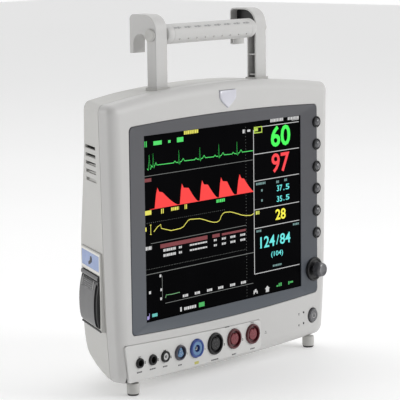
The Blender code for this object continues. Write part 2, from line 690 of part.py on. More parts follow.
def handle():
    grip_y, grip_z = ARM_Y0 + GRIP_BACK, SZ + HANDLE_H - GRIP_DROP
    for side, sign in (("left", -1), ("right", 1)):
        inner, outer = sign * (ARM_X - ARM_W / 2), sign * (ARM_X + ARM_W / 2)
        low, high = sorted((inner, outer))
        arm = slab("handle_arm_" + side, hook_outline(), low, high, "X", SHELL)
        low, high = sorted((inner - sign * 0.001, outer - sign * 0.0025))
        shape(arm, slab("arm_hollow_" + side, hook_outline(0.0016), low, high, "X"))
        low, high = sorted((outer - sign * (0.0025 + GAP), outer - sign * 0.0075))
        slab("arm_core_" + side, hook_outline(0.0016 + GAP), low, high, "X", BLACK)
        cap = [(0, 0.0026), (0.0050, 0.0026), (0.0064, 0.0014), (0.0064, GAP), (0, GAP)]
        turned("grip_cap_" + side, cap, (outer, grip_y, grip_z), (sign, 0, 0), CAP, 20)
        sleeve(side, sign)
    length = ARM_X - ARM_W / 2 - GAP
    profile = [(0, length), (GRIP_R - 0.0030, length), (GRIP_R - 0.0008, length - 0.0010),
               (GRIP_R, length - 0.0030), (GRIP_R, 0.0030 - length), (GRIP_R - 0.0008, 0.0010 - length),
               (GRIP_R - 0.0030, -length), (0, -length)]
    turned("grip", profile, (0, grip_y, grip_z), (1, 0, 0), SHELL, 28)


def sleeve_box(sign, grow):
    x = sign * ARM_X
    half = ARM_W / 2 + GAP + grow
    return x - half, x + half, ARM_Y0 - GAP - grow, ARM_Y1 + GAP + grow


def sleeve(side, sign):
    """The collar and guide that an arm slides in."""
    top = case_top(ARM_X - ARM_W / 2) + SLEEVE_LIP
    foot = arm_foot() - HANDLE_TRAVEL - 0.003
    x0, x1, y0, y1 = sleeve_box(sign, SLEEVE_T)
    obj = box("handle_sleeve_" + side, (x0, y0, foot), (x1, y1, top), SHELL)
    x0, x1, y0, y1 = sleeve_box(sign, 0.0)
    shape(obj, box("sleeve_bore_" + side, (x0, y0, foot - 0.01), (x1, y1, top + 0.01)))


def sleeve_cuts(which):
    out = []
    for side, sign in (("left", -1), ("right", 1)):
        x0, x1, y0, y1 = sleeve_box(sign, SLEEVE_T + GAP)
        out.append(box("%s_sleeve_cut_%s" % (which, side), (x0, y0, SZ + 0.100), (x1, y1, SZ + 0.150)))
    return out


# ---- Recorder on the left wall -----------------------------------------------------------------
def recorder():
    s0, s1 = RECORDER_S + GAP, RECORDER_S + RECORDER_L - GAP
    z1, z0 = RECORDER_TOP - GAP, RECORDER_TOP - RECORDER_H + GAP
    door0, door1 = z0 + 0.0030, z1 - 0.0225
    bezel = box("recorder_bezel", (s0, -0.0030, z0), (s1, 0.0022, z1), BLACK, 0.0008)
    on(left_wall, bezel)
    hole = box("recorder_window", (s0 + 0.004, -0.01, door0), (s1 - 0.004, 0.01, door1))
    shape(bezel, on(left_wall, hole))
    a, b = s0 + 0.004 + GAP + 0.0002, s1 - 0.004 - GAP - 0.0002
    lever_z = door1 - 0.0052
    bow = [(-0.0020, lever_z - 0.0005), (-0.0020, door0 + 0.0005), (0.0030, door0 + 0.0005),
           (0.0050, door0 + 0.0035), (0.0062, door0 + 0.0105), (0.0066, door0 + 0.0200),
           (0.0056, door0 + 0.0320), (0.0022, lever_z - 0.0005)]
    door = slab("recorder_door", bow, a, b, "X", DOOR)
    hinge = (0.0, 0.0030, door0 + 0.0010)
    platen_z = lever_z - 0.0075
    for i, (e0, e1) in enumerate(((a + 0.0004, a + 0.0022), (b - 0.0022, b - 0.0004))):
        ear = box("door_ear_%d" % i, (e0, -0.0115, platen_z - 0.0045), (e1, -0.0010, platen_z + 0.0045))
        shape(door, on(left_wall, ear), "UNION")
        spot = ((e0 + e1) / 2, -0.0070, platen_z)
        bore = turned("ear_bore_%d" % i, rod(0.0012 + GAP, 0.01), spot, (1, 0, 0), steps=12)
        shape(door, on(left_wall, bore))
    on(left_wall, place(door, ((a + b) / 2, hinge[1], hinge[2])))
    lever = slab("recorder_lever", [(-0.0015, lever_z), (0.0030, lever_z), (0.0042, lever_z + 0.0015),
                                    (0.0042, door1 - 0.0010), (0.0028, door1 - 0.0005),
                                    (-0.0015, door1 - 0.0005)], a, b, "X", BLACK)
    place(lever, ((a + b) / 2, 0.0006, lever_z + 0.0002))
    on(left_wall, lever)
    length = (b - a) / 2
    spot = ((a + b) / 2, -0.0070, platen_z)
    core = length - 0.0035
    shaft = [(0, length - 0.0006), (0.0012, length - 0.0006), (0.0012, core), (PLATEN_R, core),
             (PLATEN_R, -core), (0.0012, -core), (0.0012, 0.0006 - length), (0, 0.0006 - length)]
    on(left_wall, turned("platen_roller", shaft, spot, (1, 0, 0), RUBBER, 16))
    tray0, tray1 = 0.0140, s1 - 0.0045
    tray = box("recorder_tray", (tray0, -0.0285, door0 + 0.001), (tray1, -0.0034, platen_z - 0.0055), BLACK)
    on(left_wall, tray)
    hollow = box("tray_hollow", (tray0 + 0.0012, -0.0273, door0 + 0.0022),
                 (tray1 - 0.0012, 0.01, platen_z - 0.0050))
    shape(tray, on(left_wall, hollow))
    half = (tray1 - tray0) / 2 - 0.0020
    roll = [(0.0045, half), (ROLL_R, half), (ROLL_R, -half), (0.0045, -half)]
    mid = (tray0 + tray1) / 2
    on(left_wall, turned("paper_roll", roll, (mid, -0.0155, door0 + 0.0150), (1, 0, 0), PAPER, 24, ring=True))


# ---- Battery and its door on the right wall ----------------------------------------------------
def battery():
    s0, s1 = BATTERY_S + GAP, BATTERY_S + BATTERY_L - GAP
    z0, z1 = BATTERY_TOP - BATTERY_H + GAP, BATTERY_TOP - GAP
    door = box("battery_door", (-s1, -0.0022, z0), (-s0, -0.0002, z1), SHELL)
    place(door, (-(s0 + s1) / 2, -0.0002, z0))
    on(right_wall, door)
    pack = box("battery_pack", (-s1 + 0.003, -0.0220, z0 + 0.003), (-s0 - 0.003, -0.0045, z1 - 0.003),
               BLACK, 0.0015)
    on(right_wall, pack)


# ---- Inside the case ---------------------------------------------------------------------------
def board(name, low, high, chips):
    """A circuit board with its tallest components joined on."""
    obj = box(name, low, high, BOARD)
    for i, (x0, z0, x1, z1, tall) in enumerate(chips):
        chip = box("%s_chip_%d" % (name, i), (x0, high[1] - 0.0005, z0), (x1, high[1] + tall, z1))
        shape(obj, chip, "UNION")
    return obj


def inside():
    y = FACE + 0.0280
    board("main_board", (-0.095, y, SZ - 0.070), (0.055, y + 0.0016, SZ + 0.060),
          ((-0.060, SZ - 0.010, -0.025, SZ + 0.025, 0.006), (0.000, SZ + 0.010, 0.022, SZ + 0.032, 0.003),
           (-0.085, SZ - 0.062, -0.040, SZ - 0.048, 0.008), (0.010, SZ - 0.055, 0.040, SZ - 0.030, 0.004)))
    y = FACE + 0.0190
    board("parameter_board", (-0.125, y, SZ - 0.133), (0.055, y + 0.0016, SZ - 0.104),
          ((-0.110, SZ - 0.128, -0.080, SZ - 0.110, 0.005), (-0.060, SZ - 0.128, -0.020, SZ - 0.110, 0.006),
           (0.000, SZ - 0.128, 0.040, SZ - 0.110, 0.005)))
    y = FACE + 0.0690
    supply = box("power_supply", (-0.068, y, SZ - 0.095), (0.030, y + 0.0030, SZ + 0.025), STEEL)
    for i, (x0, z0, x1, z1) in enumerate(((-0.060, -0.080, -0.020, -0.040), (-0.010, -0.085, 0.020, -0.050),
                                          (-0.055, -0.020, -0.030, 0.010), (-0.010, -0.030, 0.015, 0.010))):
        block = box("supply_block_%d" % i, (x0, y + 0.0025, SZ + z0), (x1, y + 0.022, SZ + z1))
        shape(supply, block, "UNION")
    pump = [(0, 0.028), (0.0125, 0.028), (0.0125, -0.004), (0.0080, -0.004), (0.0080, -0.008),
            (0.0145, -0.008), (0.0145, -0.026), (0.0025, -0.026), (0.0025, -0.034), (0, -0.034)]
    turned("air_pump", pump, (-0.045, FACE + 0.0450, SZ - 0.098), (1, 0, 0), STEEL, 20)
    cone = [(0, 0.000), (0.0060, 0.002), (0.0175, 0.010), (0.0200, 0.010), (0.0200, 0.008), (0.0100, -0.002),
            (0.0100, -0.010), (0, -0.010)]
    turned("speaker", cone, (0.085, FACE + 0.0330, SZ - 0.093), (0, -1, 0), BLACK, 24)
    x, z, half_w, half_h = INLET_X, SZ + INLET_Z, INLET_W / 2 - GAP, INLET_H / 2 - GAP
    inlet = box("mains_inlet", (x - half_w, BACK - 0.0200, z - half_h),
                (x + half_w, BACK - 0.0002, z + half_h), BLACK)
    shape(inlet, box("inlet_hollow", (x - half_w + 0.0022, BACK - 0.0165, z - half_h + 0.0027),
                     (x + half_w - 0.0022, BACK + 0.0100, z + half_h - 0.0027)))


def case_base(x):
    """Height of the case's underside above the floor at a place across it."""
    base = case_half(BOTTOM_CORNER_Z + BASE_CORNER) - BASE_CORNER
    return SZ + BOTTOM_CORNER_Z - CHIN_BOW * (1 - (x / base) ** 2)


def foot(name, x, behind, top, radius):
    profile = [(0, top), (radius - 0.0010, top), (radius, top - 0.0018), (radius - 0.0004, 0.0010),
               (radius - 0.0012, 0.0), (0, 0.0)]
    turned(name, profile, (x, FACE + behind, 0), (0, 0, 1), RUBBER)


def feet():
    front_x, rear_x = HALF_TOP - FOOT_INBOARD, HALF_TOP - REAR_FOOT_INBOARD
    for side, sign in (("left", -1), ("right", 1)):
        foot("foot_front_" + side, sign * front_x, FOOT_BEHIND, case_base(front_x - FOOT_R) - GAP, FOOT_R)
        foot("foot_rear_" + side, sign * rear_x, REAR_FOOT_BEHIND, SZ + COVER_LOW - GAP, REAR_FOOT_R)


# ---- Build -------------------------------------------------------------------------------------
front_housing()
rear_housing()
rear_cover()
screen_surround()
screen()
keys()
knob()
power_and_lights()
alarm_lens()
connector_panel()
handle()
recorder()
battery()
inside()
feet()

for obj in parts.objects:
    if obj.data.polygons:
        obj.data.shade_smooth()
        obj.data.set_sharp_from_angle(angle=math.radians(35))
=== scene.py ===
# %% [markdown]
# # A patient monitor
# The solid model says where every piece of the monitor is and how it moves. This lesson dresses
# that model: finer shells, moulded plastic, a lit screen, connectors, a recorder and a handle.

# %% Load the frame
import math

import bmesh
import bpy
from mathutils import Matrix, Vector


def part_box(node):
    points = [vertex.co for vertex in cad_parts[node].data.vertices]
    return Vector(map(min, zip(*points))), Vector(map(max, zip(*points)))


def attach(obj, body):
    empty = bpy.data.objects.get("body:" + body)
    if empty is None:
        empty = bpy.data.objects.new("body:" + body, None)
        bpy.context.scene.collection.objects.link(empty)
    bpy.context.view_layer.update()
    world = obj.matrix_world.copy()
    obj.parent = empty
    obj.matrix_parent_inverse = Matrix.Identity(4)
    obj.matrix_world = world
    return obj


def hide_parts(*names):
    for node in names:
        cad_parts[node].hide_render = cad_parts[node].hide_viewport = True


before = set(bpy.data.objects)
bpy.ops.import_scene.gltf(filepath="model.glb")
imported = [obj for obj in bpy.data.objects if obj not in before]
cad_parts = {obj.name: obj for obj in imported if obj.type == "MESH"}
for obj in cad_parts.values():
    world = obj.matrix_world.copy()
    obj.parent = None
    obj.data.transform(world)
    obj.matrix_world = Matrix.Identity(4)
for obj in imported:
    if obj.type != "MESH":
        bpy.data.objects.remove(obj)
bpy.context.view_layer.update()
bpy.ops.object.select_all(action="DESELECT")

# %% [markdown]
# Every size below comes from the boxes of the solid pieces, so a change in the model moves the
# finer pieces too. The screen's middle is the natural place to measure from.

# %% Places read from the frame
glass_low, glass_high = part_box("screen_glass")
shell_low, shell_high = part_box("front_housing")
MID_Z = (glass_low[2] + glass_high[2]) / 2
SCREEN_Y = glass_low[1]
FACE_Y = shell_low[1]
SEAM_Y = shell_high[1]
GLASS_LAP = 0.004
SCREEN_X = glass_high[0] - GLASS_LAP
SCREEN_H = glass_high[2] - MID_Z - GLASS_LAP
print("screen half", SCREEN_X, SCREEN_H, "face", FACE_Y, "seam", SEAM_Y, "middle", MID_Z)

# %% [markdown]
# The monitor stands on a pale studio floor. The camera looks from the left and a little above,
# with a long lens, so upright edges stay nearly parallel.

# %% Camera
YAW, PITCH, ROLL = math.radians(49.0), math.radians(8.1), math.radians(-0.7)
DISTANCE = 1.985
LENS_MM = 178.0
AIM = Vector((-0.0398, SCREEN_Y, MID_Z + 0.020))
ahead = Vector((math.sin(YAW) * math.cos(PITCH), math.cos(YAW) * math.cos(PITCH), -math.sin(PITCH)))
level = Vector((math.cos(YAW), -math.sin(YAW), 0.0))
upright = level.cross(ahead)
right = math.cos(ROLL) * level + math.sin(ROLL) * upright
up = -math.sin(ROLL) * level + math.cos(ROLL) * upright
bpy.ops.object.camera_add(location=AIM - DISTANCE * ahead)
camera = bpy.context.object
camera.rotation_euler = Matrix((right, up, -ahead)).transposed().to_euler()
camera.data.lens = LENS_MM
camera.data.sensor_width = 36.0
camera.data.clip_end = 20.0
bpy.context.scene.camera = camera
print("camera", tuple(camera.location))

# %% [markdown]
# Shader sums are easier to read as Python. `Value` wraps a socket, so `1 - mask * 0.3` adds the
# Math nodes it needs, and `Finish.node` makes every other node.

# %% Small shader language
class Value:
    """A number that varies over a surface."""

    def __init__(self, finish, socket):
        self.finish = finish
        self.socket = socket

    def sum(self, operation, first, second):
        return self.finish.node("Math", {"operation": operation}, {0: first, 1: second})

    def __add__(self, other):
        return self.sum("ADD", self, other)

    def __radd__(self, other):
        return self.sum("ADD", other, self)

    def __sub__(self, other):
        return self.sum("SUBTRACT", self, other)

    def __rsub__(self, other):
        return self.sum("SUBTRACT", other, self)

    def __mul__(self, other):
        return self.sum("MULTIPLY", self, other)

    def __rmul__(self, other):
        return self.sum("MULTIPLY", other, self)

    def __truediv__(self, other):
        return self.sum("DIVIDE", self, other)

    def above(self, other):
        return self.sum("GREATER_THAN", self, other)


class Finish:
    """One material, built around its Principled shader."""

    def __init__(self, name, roughness=0.5, metallic=0.0, coat=0.0, ior=1.5):
        self.material = bpy.data.materials.new(name)
        self.material.use_nodes = True
        self.tree = self.material.node_tree
        self.shader = self.tree.nodes["Principled BSDF"]
        self.set("Roughness", roughness)
        self.set("Metallic", metallic)
        self.set("Coat Weight", coat)
        self.set("IOR", ior)
        self.place = self.node("TexCoord", output="Object")

    def node(self, kind, settings=None, values=None, output=0):
        made = self.tree.nodes.new("ShaderNode" + kind)
        for key, value in (settings or {}).items():
            if key == "stops":
                ramp = made.color_ramp.elements
                while len(ramp) < len(value):
                    ramp.new(0.5)
                for element, (spot, colour) in zip(ramp, value):
                    element.position = spot
                    element.color = (*colour, 1.0)
            else:
                setattr(made, key, value)
        for key, value in (values or {}).items():
            self.link(made.inputs[key], value)
        return Value(self, made.outputs[output])

    def link(self, socket, value):
        if isinstance(value, Value):
            self.tree.links.new(value.socket, socket)
        elif isinstance(value, (tuple, list)) and len(value) == 3 and len(socket.default_value) == 4:
            socket.default_value = (*value, 1.0)
        else:
            socket.default_value = value

    def set(self, name, value):
        self.link(self.shader.inputs[name], value)

    def mix(self, first, second, share):
        return self.node("Mix", {"data_type": "RGBA"}, {0: share, 6: first, 7: second}, 2)

    def noise(self, scale, detail=3.0, stretch=None):
        where = self.place
        if stretch:
            where = self.node("Mapping", None, {"Vector": self.place, "Scale": stretch})
        return self.node("TexNoise", None, {"Vector": where, "Scale": scale, "Detail": detail}, "Fac")

    def bump(self, height, distance, strength=1.0):
        bumped = self.node("Bump", None, {"Height": height, "Distance": distance, "Strength": strength})
        self.set("Normal", bumped)
        return self


# %% [markdown]
# Moulded plastic is never one flat colour. It has a fine spark-eroded grain, faint flow clouds,
# and the places that hands touch are a touch smoother. Each plastic takes those from one recipe.

# %% Plastics
def plastic(name, colour, roughness, grain=0.00005, clouds=0.05, coat=0.0, grain_scale=1600.0):
    """A moulded plastic with grain, faint clouds and slightly uneven gloss."""
    made = Finish(name, roughness, coat=coat)
    drift = made.noise(9.0, 4.0)
    speck = made.noise(420.0, 2.0)
    shade = drift * 0.75 + speck * 0.25
    dark = tuple(c * (1 - clouds) for c in colour)
    light = tuple(min(1.0, c * (1 + clouds)) for c in colour)
    made.set("Base Color", made.mix(dark, light, shade))
    made.set("Roughness", roughness + (made.noise(30.0) - 0.5) * 0.14)
    made.bump(made.noise(grain_scale, 2.0), grain, 0.6)
    return made.material


SHELL = plastic("moulded_shell", (0.58, 0.575, 0.565), 0.42)
# A darker copy of the shell colour, used on the rear moulding and smaller pieces: its darkness is painted
# shade.
SHELL_WITH_PAINTED_SHADE = plastic("moulded_shell_painted_shade", (0.53, 0.525, 0.505), 0.46)
PANEL = plastic("moulded_panel", (0.64, 0.637, 0.625), 0.40)
BLACK = plastic("black_plastic", (0.006, 0.006, 0.007), 0.42, clouds=0.2)
SOCKET_BLACK = plastic("socket_black", (0.006, 0.006, 0.007), 0.50, clouds=0.2)
CAP = plastic("glossy_cap", (0.085, 0.085, 0.092), 0.16, grain=0.00001, clouds=0.15, coat=0.6)
DOOR = plastic("recorder_door_plastic", (0.024, 0.024, 0.026), 0.34, clouds=0.12, coat=0.15)
BLUE = plastic("blue_fitting", (0.022, 0.060, 0.28), 0.30, clouds=0.1, coat=0.3)
PALE_BLUE = plastic("pale_blue_face", (0.12, 0.24, 0.42), 0.35, clouds=0.1)
RED = plastic("dark_red_fitting", (0.085, 0.005, 0.010), 0.30, clouds=0.15, coat=0.3)
GREY = plastic("grey_fitting", (0.055, 0.052, 0.075), 0.30, clouds=0.15, coat=0.3)
INK = plastic("printed_ink", (0.05, 0.05, 0.055), 0.60, grain=0.00001)
WHITE_INK = plastic("white_print", (0.62, 0.62, 0.62), 0.50, grain=0.00001)
PAPER = plastic("roll_paper", (0.80, 0.79, 0.75), 0.90, grain=0.00003)
print("plastics made")

# %% [markdown]
# Glass, metal, rubber and circuit board are set by their shader numbers more than by colour:
# glass is near black and very smooth, zinc plate is a metal with soft brush marks, and rubber is
# rough with pale dust in its grain.

# %% Glass, metals, rubber and boards
def dark_glass():
    made = Finish("screen_glass_finish", 0.2, ior=1.08)
    made.set("Base Color", made.mix((0.0010, 0.0010, 0.0012), (0.0030, 0.0030, 0.0036), made.noise(14.0)))
    made.set("Specular IOR Level", 0.12)
    made.set("Roughness", 0.20 + made.noise(60.0) * 0.06)
    return made.material


def metal(name, colour, roughness):
    made = Finish(name, roughness, metallic=1.0)
    brush = made.noise(260.0, 4.0, (1.0, 8.0, 1.0))
    made.set("Base Color", made.mix(tuple(c * 0.82 for c in colour), colour, brush))
    made.set("Roughness", roughness + (brush - 0.5) * 0.18)
    made.bump(brush, 0.00003, 0.4)
    return made.material


def rubber():
    made = Finish("foot_rubber", 0.82)
    dust = made.noise(70.0, 5.0)
    made.set("Base Color", made.mix((0.012, 0.012, 0.013), (0.045, 0.044, 0.042), dust))
    made.set("Roughness", 0.72 + dust * 0.2)
    made.bump(made.noise(900.0), 0.00012, 0.7)
    return made.material


def circuit():
    made = Finish("circuit_board_finish", 0.4, coat=0.3)
    tracks = made.node("TexBrick", {"offset": 0.5}, {"Vector": made.place, "Scale": 160.0}, "Fac")
    made.set("Base Color", made.mix((0.010, 0.090, 0.030), (0.020, 0.150, 0.050), tracks))
    made.set("Roughness", 0.35 + made.noise(80.0) * 0.2)
    made.bump(tracks, 0.00005, 0.5)
    return made.material


def lens_plastic():
    made = Finish("alarm_lens_finish", 0.22, coat=0.4)
    made.set("Base Color", made.mix((0.54, 0.54, 0.60), (0.66, 0.66, 0.72), made.noise(55.0)))
    made.set("Emission Color", made.mix((0.55, 0.54, 0.66), (0.62, 0.61, 0.72), made.noise(40.0)))
    made.set("Emission Strength", 0.05)
    made.set("Roughness", 0.20 + made.noise(90.0) * 0.08)
    return made.material


def surround_plastic():
    made = Finish("surround_plastic", 0.33, coat=0.1)
    drift = made.noise(7.0, 4.0)
    height = made.node("SeparateXYZ", None, {"Vector": made.place}, "Z")
    # Lighter and bluer towards the bottom: a painted reflection.
    lower = made.node("MapRange", None, {"Value": height, "From Min": MID_Z + 0.02, "From Max": MID_Z - 0.10})
    base = made.mix((0.050, 0.051, 0.060), (0.064, 0.065, 0.075), drift)
    made.set("Base Color", made.mix(base, (0.060, 0.072, 0.090), lower))
    made.set("Roughness", 0.30 + made.noise(30.0) * 0.12)
    made.bump(made.noise(1500.0), 0.00004, 0.6)
    return made.material


def lamp(name, colour, strength=1.0):
    """Lit screen ink: black to the studio light, with its own glow."""
    made = Finish(name, 0.35)
    made.set("Base Color", (0.0, 0.0, 0.0))
    flicker = made.noise(300.0, 1.0)
    made.set("Emission Color", made.mix(tuple(c * 0.92 for c in colour), colour, flicker))
    made.set("Emission Strength", strength)
    return made.material


GLASS = dark_glass()
STEEL = metal("zinc_plated_steel", (0.62, 0.63, 0.65), 0.32)
BRASS = metal("gilt_contacts", (0.80, 0.62, 0.30), 0.30)
RUBBER = rubber()
BOARD = circuit()
LENS = lens_plastic()
SURROUND = surround_plastic()
print("other finishes made")

# %% [markdown]
# ## Modelling helpers
# Pieces start as a primitive, are shaped in edit mode, and are finished with modifiers that are
# applied. `grow` is the workhorse: it extrudes an outline through a series of rings, as one would
# by pressing E and then moving the new ring.

# %% Helpers
SMOOTH_ANGLE = math.radians(32)


def lone(obj):
    """Select one object and make it active."""
    if bpy.context.object and bpy.context.object.mode != "OBJECT":
        bpy.ops.object.mode_set(mode="OBJECT")
    bpy.ops.object.select_all(action="DESELECT")
    obj.select_set(True)
    bpy.context.view_layer.objects.active = obj
    return obj


def named(name):
    obj = bpy.context.object
    obj.name = name
    obj.data.name = name
    return obj


def free():
    if bpy.context.object and bpy.context.object.mode != "OBJECT":
        bpy.ops.object.mode_set(mode="OBJECT")
    bpy.ops.object.select_all(action="DESELECT")


def grow(name, rings):
    """A closed skin through rings of 3-D points; every ring has as many points as the first."""
    free()
    bpy.ops.mesh.primitive_circle_add(vertices=len(rings[0]), fill_type="NGON")
    obj = named(name)
    for vertex, point in zip(obj.data.vertices, rings[0]):
        vertex.co = point
    bpy.ops.object.mode_set(mode="EDIT")
    bpy.ops.mesh.select_all(action="SELECT")
    for before, ring in zip(rings, rings[1:]):
        bpy.ops.mesh.extrude_region_move()
        bm = bmesh.from_edit_mesh(obj.data)
        spots = {tuple(round(c, 5) for c in Vector(p)): q for p, q in zip(before, ring)}
        for vertex in bm.verts:
            if vertex.select:
                vertex.co = spots[tuple(round(c, 5) for c in vertex.co)]
        bmesh.update_edit_mesh(obj.data)
    bpy.ops.mesh.select_all(action="SELECT")
    bpy.ops.mesh.normals_make_consistent(inside=False)
    bpy.ops.object.mode_set(mode="OBJECT")
    return obj


def plate(name, outline, y0, y1):
    """An outline of (x, z) points, extruded from y0 to y1."""
    return grow(name, [[(x, y0, z) for x, z in outline], [(x, y1, z) for x, z in outline]])


def block(name, low, high):
    """A box between two corners."""
    free()
    middle = [(a + b) / 2 for a, b in zip(low, high)]
    bpy.ops.mesh.primitive_cube_add(size=1.0, location=middle)
    obj = named(name)
    obj.scale = [b - a for a, b in zip(low, high)]
    bpy.ops.object.transform_apply(location=True, rotation=True, scale=True)
    return obj


def turned(name, profile, spot=(0, 0, 0), axis=(0, -1, 0), steps=48, ring=False):
    """A lathe-turned piece.  The profile is (radius, height) from the front of the axis down."""
    free()
    bpy.ops.mesh.primitive_plane_add()
    obj = named(name)
    edges = [(i, i + 1) for i in range(len(profile) - 1)] + ([(len(profile) - 1, 0)] if ring else [])
    obj.data.clear_geometry()
    obj.data.from_pydata([(r, 0, h) for r, h in profile], edges, [])
    bpy.ops.object.mode_set(mode="EDIT")
    bpy.ops.mesh.select_all(action="SELECT")
    bpy.ops.mesh.spin(steps=steps, angle=2 * math.pi, center=(0, 0, 0), axis=(0, 0, 1))
    bpy.ops.mesh.select_all(action="SELECT")
    bpy.ops.mesh.remove_doubles(threshold=0.000004)
    bpy.ops.mesh.normals_make_consistent(inside=False)
    bpy.ops.object.mode_set(mode="OBJECT")
    obj.rotation_euler = Vector(axis).to_track_quat("Z", "Y").to_euler()
    obj.location = spot
    bpy.ops.object.transform_apply(location=True, rotation=True, scale=True)
    return obj


def use(obj, kind, **settings):
    """Add a modifier, set it and apply it."""
    lone(obj)
    step = obj.modifiers.new(kind.lower(), kind)
    for key, value in settings.items():
        setattr(step, key, value)
    bpy.ops.object.modifier_apply(modifier=step.name)
    return obj


def soften(obj, width, segments=3, angle=35.0):
    return use(obj, "BEVEL", width=width, segments=segments, limit_method="ANGLE",
               angle_limit=math.radians(angle), miter_outer="MITER_ARC")


def carve(obj, *cutters, operation="DIFFERENCE", solver="EXACT"):
    """Cut with, or join to, other pieces, which are used up."""
    for cutter in cutters:
        use(obj, "BOOLEAN", object=cutter, operation=operation, solver=solver)
        bpy.data.objects.remove(cutter, do_unlink=True)
    return obj


def together(name, *pieces):
    """Join loose pieces into one object."""
    lone(pieces[0])
    for piece in pieces[1:]:
        piece.select_set(True)
    if len(pieces) > 1:
        bpy.ops.object.join()
    return named(name)


def settle(obj, body, slot, finish, *nodes, flat=True):
    """Finish a piece: smooth shading, its material, the body it rides on and what it stands for."""
    lone(obj)
    bpy.ops.object.transform_apply(location=True, rotation=True, scale=True)
    bpy.ops.object.shade_smooth_by_angle(angle=SMOOTH_ANGLE)
    if flat:
        use(obj, "WEIGHTED_NORMAL", keep_sharp=True)
    if finish:
        obj.data.materials.clear()
        obj.data.materials.append(finish)
    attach(obj, body)
    if nodes:
        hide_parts(*nodes)
    return obj


def arc(centre, radius, start, stop, count):
    steps = [math.radians(start + (stop - start) * i / count) for i in range(count + 1)]
    return [(centre[0] + radius * math.cos(a), centre[1] + radius * math.sin(a)) for a in steps]


def rounded(low, high, radius, count=5):
    corners = ((high[0] - radius, high[1] - radius, 0), (low[0] + radius, high[1] - radius, 90),
               (low[0] + radius, low[1] + radius, 180), (high[0] - radius, low[1] + radius, 270))
    return [p for x, z, turn in corners for p in arc((x, z), radius, turn, turn + 90, count)]


def ease(low, high, count):
    return [low + (high - low) * i / count for i in range(count + 1)]


print("helpers ready")

# %% [markdown]
# ## Front shell
# The real front is one moulding: a bowed brow, cheeks that lean in towards the feet, and a broad
# soft edge rolling back to the seam. It is grown from rings whose inset follows a quarter ellipse,
# because a plain bevel can't be wider than it is deep.

# %% Case outline
SURROUND_LOW, SURROUND_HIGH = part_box("screen_surround")
CORNER, BASE_CORNER = 0.0085, 0.0100
ROLL_WIDE, ROLL_DEEP = 0.0120, 0.0085
WALL = 0.0028
BROW_BOW, CHIN_BOW = 0.0120, 0.0035
TOP_Z = shell_high[2] - BROW_BOW
BOTTOM_Z = shell_low[2] + CHIN_BOW
HALF_TOP = shell_high[0]
SLOPE, CURL, CURL_FROM = 0.0257, 0.57, MID_Z - 0.063


def case_half(z):
    curl = max(0.0, CURL_FROM - z)
    return HALF_TOP - SLOPE * (TOP_Z - z) - CURL * curl * curl


def case_outline(inset=0.0):
    """The case seen from the front, shrunk by an inset."""
    radius, base_radius = max(0.0015, CORNER - inset * 0.45), max(0.0015, BASE_CORNER - inset * 0.45)
    top, bottom = TOP_Z - inset, BOTTOM_Z + inset
    half = HALF_TOP - inset - radius
    points = [(x, top + BROW_BOW * (1 - (x / HALF_TOP) ** 2)) for x in ease(half, -half, 40)]
    left = arc((-half, top - radius + BROW_BOW * (1 - (half / HALF_TOP) ** 2)), radius, 90, 180, 6)[1:]
    start = left[-1][1]
    stop = bottom + base_radius
    base = case_half(stop) - inset - base_radius
    left += [(-case_half(z) + inset, z) for z in ease(start, stop, 26)[1:]]
    left += arc((-base, stop), base_radius, 180, 270, 6)[1:]
    low = [(x, bottom - CHIN_BOW * (1 - (x / base) ** 2)) for x in ease(-base, base, 30)[1:-1]]
    right = [(-x, z) for x, z in reversed(left)]
    return points + left + low + right


def ring(inset, y):
    return [(x, y, z) for x, z in case_outline(inset)]


def surround_outline(grow_by=0.0):
    half = SURROUND_HIGH[0] + grow_by
    bow_top, bow_low, corner = 0.0035, 0.0038, 0.0050
    top, low = SURROUND_HIGH[2] - bow_top + grow_by, SURROUND_LOW[2] + bow_low - grow_by
    upper = [(x, top + bow_top * (1 - (x / half) ** 2)) for x in ease(half - corner, corner - half, 24)]
    lower = [(x, low - bow_low * (1 - (x / half) ** 2)) for x in ease(corner - half, half - corner, 24)]
    left_up = arc((corner - half, upper[-1][1] - corner), corner, 90, 180, 6)[1:]
    left_low = arc((corner - half, lower[0][1] + corner), corner, 180, 270, 6)[:-1]
    right_low = [(-x, z) for x, z in reversed(left_low)]
    right_up = [(-x, z) for x, z in reversed(left_up)]
    return upper + left_up + left_low + lower + right_low + right_up


print("outline points", len(case_outline()), len(surround_outline()))

# %% Front shell
SHADOW_GAP = 0.0004
turns = [math.radians(a) for a in (0, 12, 24, 36, 48, 60, 72, 82, 90)]
rings = [ring(0.0, SEAM_Y)]
rings += [ring(ROLL_WIDE * (1 - math.cos(a)), FACE_Y + ROLL_DEEP * (1 - math.sin(a))) for a in turns]
front = grow("front_shell", rings)
hollow = grow("front_hollow", [ring(WALL, SEAM_Y + 0.01), ring(WALL, FACE_Y + ROLL_DEEP),
                               ring(WALL + 0.004, FACE_Y + WALL)])
carve(front, hollow, plate("window", surround_outline(SHADOW_GAP), FACE_Y - 0.02, FACE_Y + 0.02),
      solver="MANIFOLD")
print("front shell faces", len(front.data.polygons))

# %% [markdown]
# Everything that shows on the front sits in its own opening, with a hair of shadow round it. The
# same outline, grown a little, cuts the opening that the piece then fills.

# %% Openings in the front
panel_low, panel_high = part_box("connector_panel")
lens_low, lens_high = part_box("alarm_lens")
key_low, key_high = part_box("menu_button_1")
COLLAR_R = 0.0060


def centre(node):
    low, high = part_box(node)
    return Vector([(a + b) / 2 for a, b in zip(low, high)])


